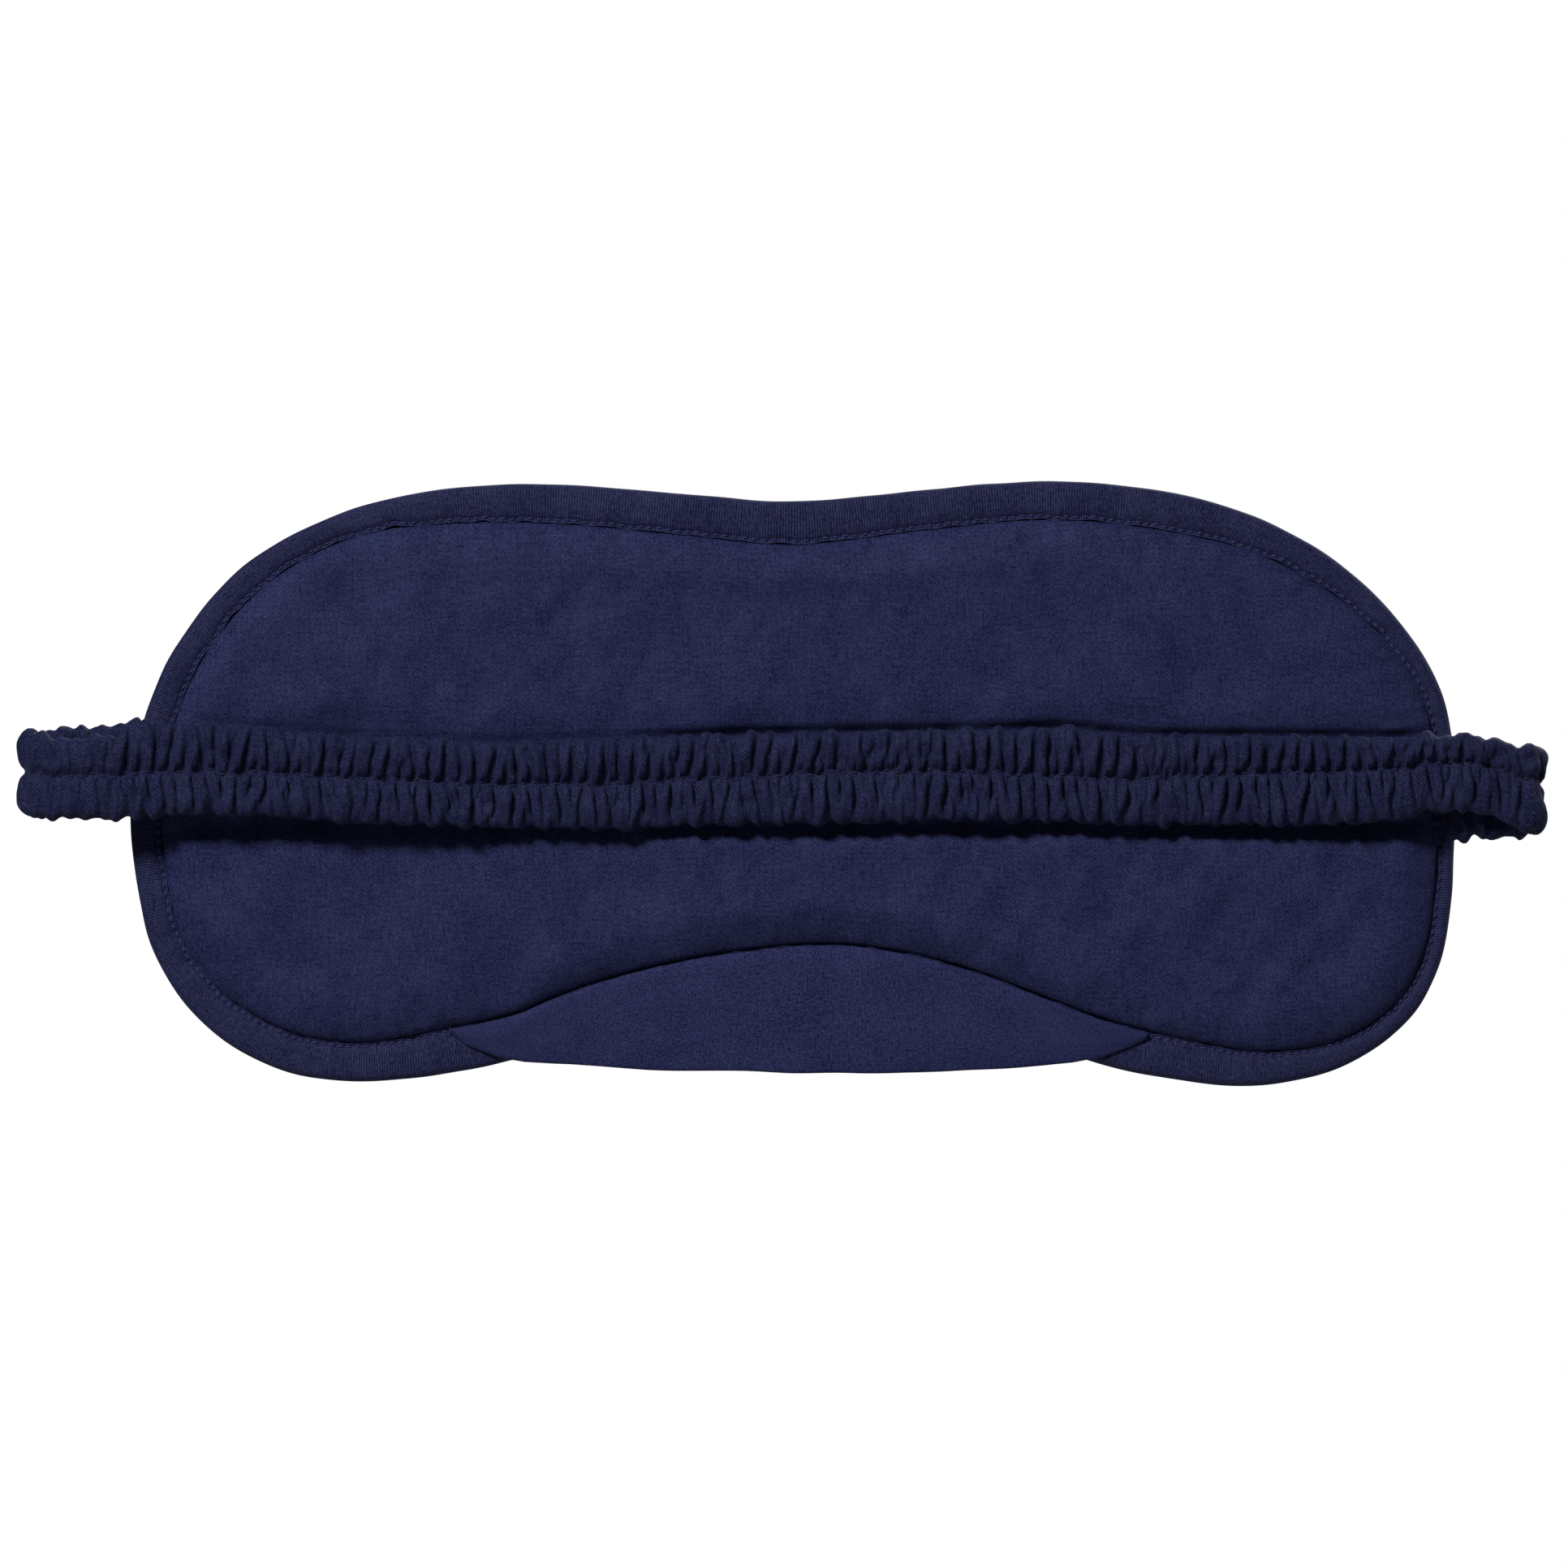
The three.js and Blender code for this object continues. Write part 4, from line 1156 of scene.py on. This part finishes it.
def build_strap():
    """The strap's cover, elastic and centre stitches, each cut where the strap's lengths meet. The pieces
    of the right tab ride on its body, and the others stay where they are made."""
    rng = np.random.default_rng(47)
    path = StrapPath()
    u = path.u
    jagged = path.edges[1] + 0.22 * ripple(u, 0 * u, rng, 30, 2.4, 6)
    rings, weave_along, weave_across = gathered_tube(path, jagged, rng)
    normals = grid_normals(rings)
    band, band_across = elastic_rings(path)
    left_cut, right_cut, centre_cut = -118.4, 115.7, 30
    cuts = [
        0,
        path.station(left_cut, 0),
        path.station(left_cut, 2),
        path.station(-centre_cut, 2),
        path.station(centre_cut, 2),
        path.station(right_cut, 2),
        path.station(right_cut, 4),
        len(u) - 1,
    ]

    def across_x(start, end):
        return {"start": (start * MM, 0, 0), "end": (end * MM, 0, 0)}

    near_mask = (0, -6.4 * MM, 0)
    off_mask = (0, -8.0 * MM, 0)
    # Name, the bodies it joins, where it turns from one to the other, and the CAD lengths it stands for.
    lengths = [
        ("tab_left", ("mask_body", "tab_left"), across_x(-99.0, -103.5), ["tab_left"]),
        ("fold_left", ("tab_left", "run_1"), {"start": near_mask, "end": off_mask}, ["fold_left"]),
        ("run_left", ("run_1", "run_2"), across_x(-74, -46), ["run_1"]),
        ("run_centre", ("run_2", "run_3"), across_x(-14, 14), ["run_2"]),
        ("run_right", ("run_3", "run_4"), across_x(46, 74), ["run_3", "run_4"]),
        ("fold_right", ("run_4", "tab_right"), {"start": off_mask, "end": near_mask}, ["fold_right"]),
        ("tab_right", ("tab_right",), None, ["tab_right"]),
    ]

    def attach(piece, bodies, span, nodes):
        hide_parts(*nodes)
        if span is None:
            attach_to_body(piece, *bodies)
        else:
            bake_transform(piece)

    sewn_in = 4
    for (name, bodies, span, parts), start, end in zip(lengths, cuts, cuts[1:]):
        pick = slice(start, end + 1)
        # The cover's cloth carries painted shade for its pleats.
        cover = tube_piece(f"strap_{name}", rings[pick], weave_along[pick], weave_across,
                           MATERIALS["strap_cloth"], normals[pick])
        attach(cover, bodies, span, [f"strap_cover_{part}" for part in parts])
        # The elastic stops short of the strap's two sewn ends.
        first = start + (sewn_in if start == cuts[0] else 0)
        last = end + 1 - (sewn_in if end == cuts[-1] else 0)
        pick = slice(first, last, 2)
        elastic = tube_piece(f"strap_elastic_band_{name}", band[pick], u[pick], band_across,
                             MATERIALS["elastic"])
        attach(elastic, bodies, span, [f"strap_elastic_{part}" for part in parts])
        middles, tangents = centre_stitches(path, jagged, start, end)
        stitches = stitch_row(f"strap_stitches_{name}", middles, tangents, 1, rng, "thread_dark",
                              CENTRE_STITCH_LENGTH, CENTRE_STITCH_RADIUS)
        stitched = [part for part in parts if not part.startswith("fold")]
        attach(stitches, bodies, span, [f"strap_stitch_{part}" for part in stitched])


def build_bartacks():
    """Close zigzags of thread that hold the strap's ends in the seam."""
    turns, spacing, radius, around = 26, 0.12, 0.11, 6
    for side in ("left", "right"):
        low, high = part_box(f"strap_bartack_{side}")
        middle_x = (low.x + high.x) / 2 / MM
        z = np.linspace(low.z / MM, high.z / MM, turns)
        swing = 0.35 * np.where(np.arange(turns) % 2, 1, -1)
        points = node_points(f"strap_bartack_{side}")
        order = np.argsort(points[:, 2])
        x = np.interp(z, points[order, 2], np.convolve(points[order, 0], np.ones(5) / 5, mode="same"))
        x = np.where(np.abs(x - middle_x) > 3, middle_x, x) + swing
        spots, _ = curve_through(np.stack([x, z], 1), spacing, closed=False)
        tangent = np.gradient(spots, axis=0)
        tangent /= np.linalg.norm(tangent, axis=1, keepdims=True)
        turn = np.arange(around) / around * TAU
        depth = -(low.y + high.y) / 2 / MM
        across = np.stack([-tangent[:, 1], tangent[:, 0]], 1)
        ring = spots[:, None] + across[:, None] * np.cos(turn)[None, :, None] * radius
        rings = place3(ring, depth + radius * np.sin(turn)[None])
        along = np.arange(len(spots)) * spacing
        across = np.arange(around + 1) * 0.1
        tack = tube_piece(f"bartack_{side}", rings, along, across, MATERIALS["thread"])
        attach_to_mask(tack, f"strap_bartack_{side}")


def build_seam_bead():
    """The roll of cloth where the strap's right end is sewn into the mask's seam."""
    rng = np.random.default_rng(59)
    seam_x, top, _, bottom = STRAP_EDGES["tab_right"][-1]
    around = 20
    z = np.linspace(bottom - 0.6, top + 0.6, 90)
    turn = np.arange(around) / around * TAU
    ends = np.sqrt(np.clip(1 - ((z - z.mean()) / (z[-1] - z.mean() + 0.05)) ** 8, 0.02, 1))
    radius = (1.05 + 0.12 * ripple(z, 0 * z, rng, 12, 1.5, 5)) * ends
    out = radius[:, None] * np.cos(turn)
    x = seam_x + 0.2 * ripple(z, 0 * z, rng, 8, 4, 12)[:, None] + out
    depth = SEAM_TUCK_DEPTH + radius[:, None] * np.sin(turn)
    rings = np.stack([x, -depth, np.broadcast_to(z[:, None], x.shape)], -1)
    across = np.arange(around + 1) * 0.33
    # The strap's cloth, darkened with painted shade.
    material = MATERIALS["strap_cloth"]
    bead = tube_piece("seam_bead_right", rings, z - z[0], across, material)
    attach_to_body(bead, "mask_body")


build_layers()
build_binding()
build_flap()
build_strap()
build_bartacks()
build_seam_bead()

# ------------ floor, light and camera


def build_stage():
    """A plain pale floor that fades out at its rim. It reflects less light onto the mask than it shows."""
    radius, height, sides = 0.9, -0.2, 96
    mesh = bpy.data.meshes.new("floor")
    turns = [TAU * i / sides for i in range(sides)]
    corners = [(radius * math.cos(turn), radius * math.sin(turn), height) for turn in turns]
    mesh.from_pydata(corners, [], [tuple(range(sides))])
    n = Nodes(bpy.data.materials.new("floor"))
    place = n.add("TexCoord").outputs["Object"]
    grain = n.noise(place, 40, 3)
    tone = n.mix(grain, (0.78, 0.78, 0.77, 1), (0.82, 0.82, 0.81, 1))
    seen = n.add("LightPath").outputs["Is Camera Ray"]
    shader = n.add("BsdfPrincipled", {
        "Base Color": n.mix(seen, (0.34, 0.34, 0.34, 1), tone),
        "Roughness": 0.8,
        "Emission Color": (1, 1, 1, 1),
        "Emission Strength": n.math("MULTIPLY", seen, 0.55),
    })
    reach = n.add("VectorMath", {0: place}, operation="LENGTH").outputs["Value"]
    span = {"Value": reach, "From Min": 0.4 * radius, "From Max": radius}
    fade = n.add("MapRange", span, interpolation_type="SMOOTHSTEP")
    clear = n.add("BsdfTransparent")
    edge = n.add("MixShader", {0: fade.outputs[0], 1: shader.outputs[0], 2: clear.outputs[0]})
    n.add("OutputMaterial", {"Surface": edge.outputs[0]})
    mesh.materials.append(n.owner)
    floor = bpy.data.objects.new("floor", mesh)
    bpy.context.scene.collection.objects.link(floor)


def area_light(name, place, target, size, power):
    """A white studio panel, which the camera doesn't see. Places and sizes are in metres."""
    lamp = bpy.data.lights.new(name, "AREA")
    lamp.shape = "RECTANGLE"
    lamp.size, lamp.size_y = size
    lamp.energy = power
    light = bpy.data.objects.new(name, lamp)
    light.location = place
    light.rotation_euler = (Vector(target) - Vector(place)).to_track_quat("-Z", "Y").to_euler()
    bpy.context.scene.collection.objects.link(light)
    light.visible_camera = False


def build_light():
    """A soft key from above on the wearer's side, a faint fill, and lights for the front and the side. The
    world looks white to the camera, but lights the scene only faintly."""
    n = Nodes(bpy.data.worlds.new("studio"))
    bpy.context.scene.world = n.owner
    white = (1, 1, 1, 1)
    seen = n.add("LightPath").outputs["Is Camera Ray"]
    soft = n.add("Background", {"Color": white, "Strength": 0.015}).outputs[0]
    bright = n.add("Background", {"Color": white, "Strength": 1.0}).outputs[0]
    light = n.add("MixShader", {0: seen, 1: soft, 2: bright}).outputs[0]
    n.add("OutputWorld", {"Surface": light})
    area_light("key", (-0.48, -0.95, 0.80), (0, 0, 0), (0.3, 0.25), 15.5)
    area_light("fill", (0.7, -0.8, 0.1), (0, 0, 0), (0.6, 0.6), 0.09)
    area_light("back_key", (0.3, 0.8, 0.7), (0, 0, 0), (0.7, 0.5), 5.5)
    area_light("side_key", (1.0, 0.35, 0.4), (0.1, 0, 0), (0.5, 0.5), 4.0)


def build_camera():
    """A long lens, level and straight on to the wearer's side."""
    lens, distance, middle_x = 216.6, 1.5, -0.00135
    camera = bpy.data.cameras.new("camera")
    camera.lens = lens
    camera.sensor_width = 36
    camera.clip_end = 20
    holder = bpy.data.objects.new("camera", camera)
    holder.location = (middle_x, -distance, 0)
    holder.rotation_euler = (math.pi / 2, 0, 0)
    bpy.context.scene.collection.objects.link(holder)
    bpy.context.scene.camera = holder
    bpy.context.scene.view_settings.view_transform = "Standard"


build_stage()
build_light()
build_camera()
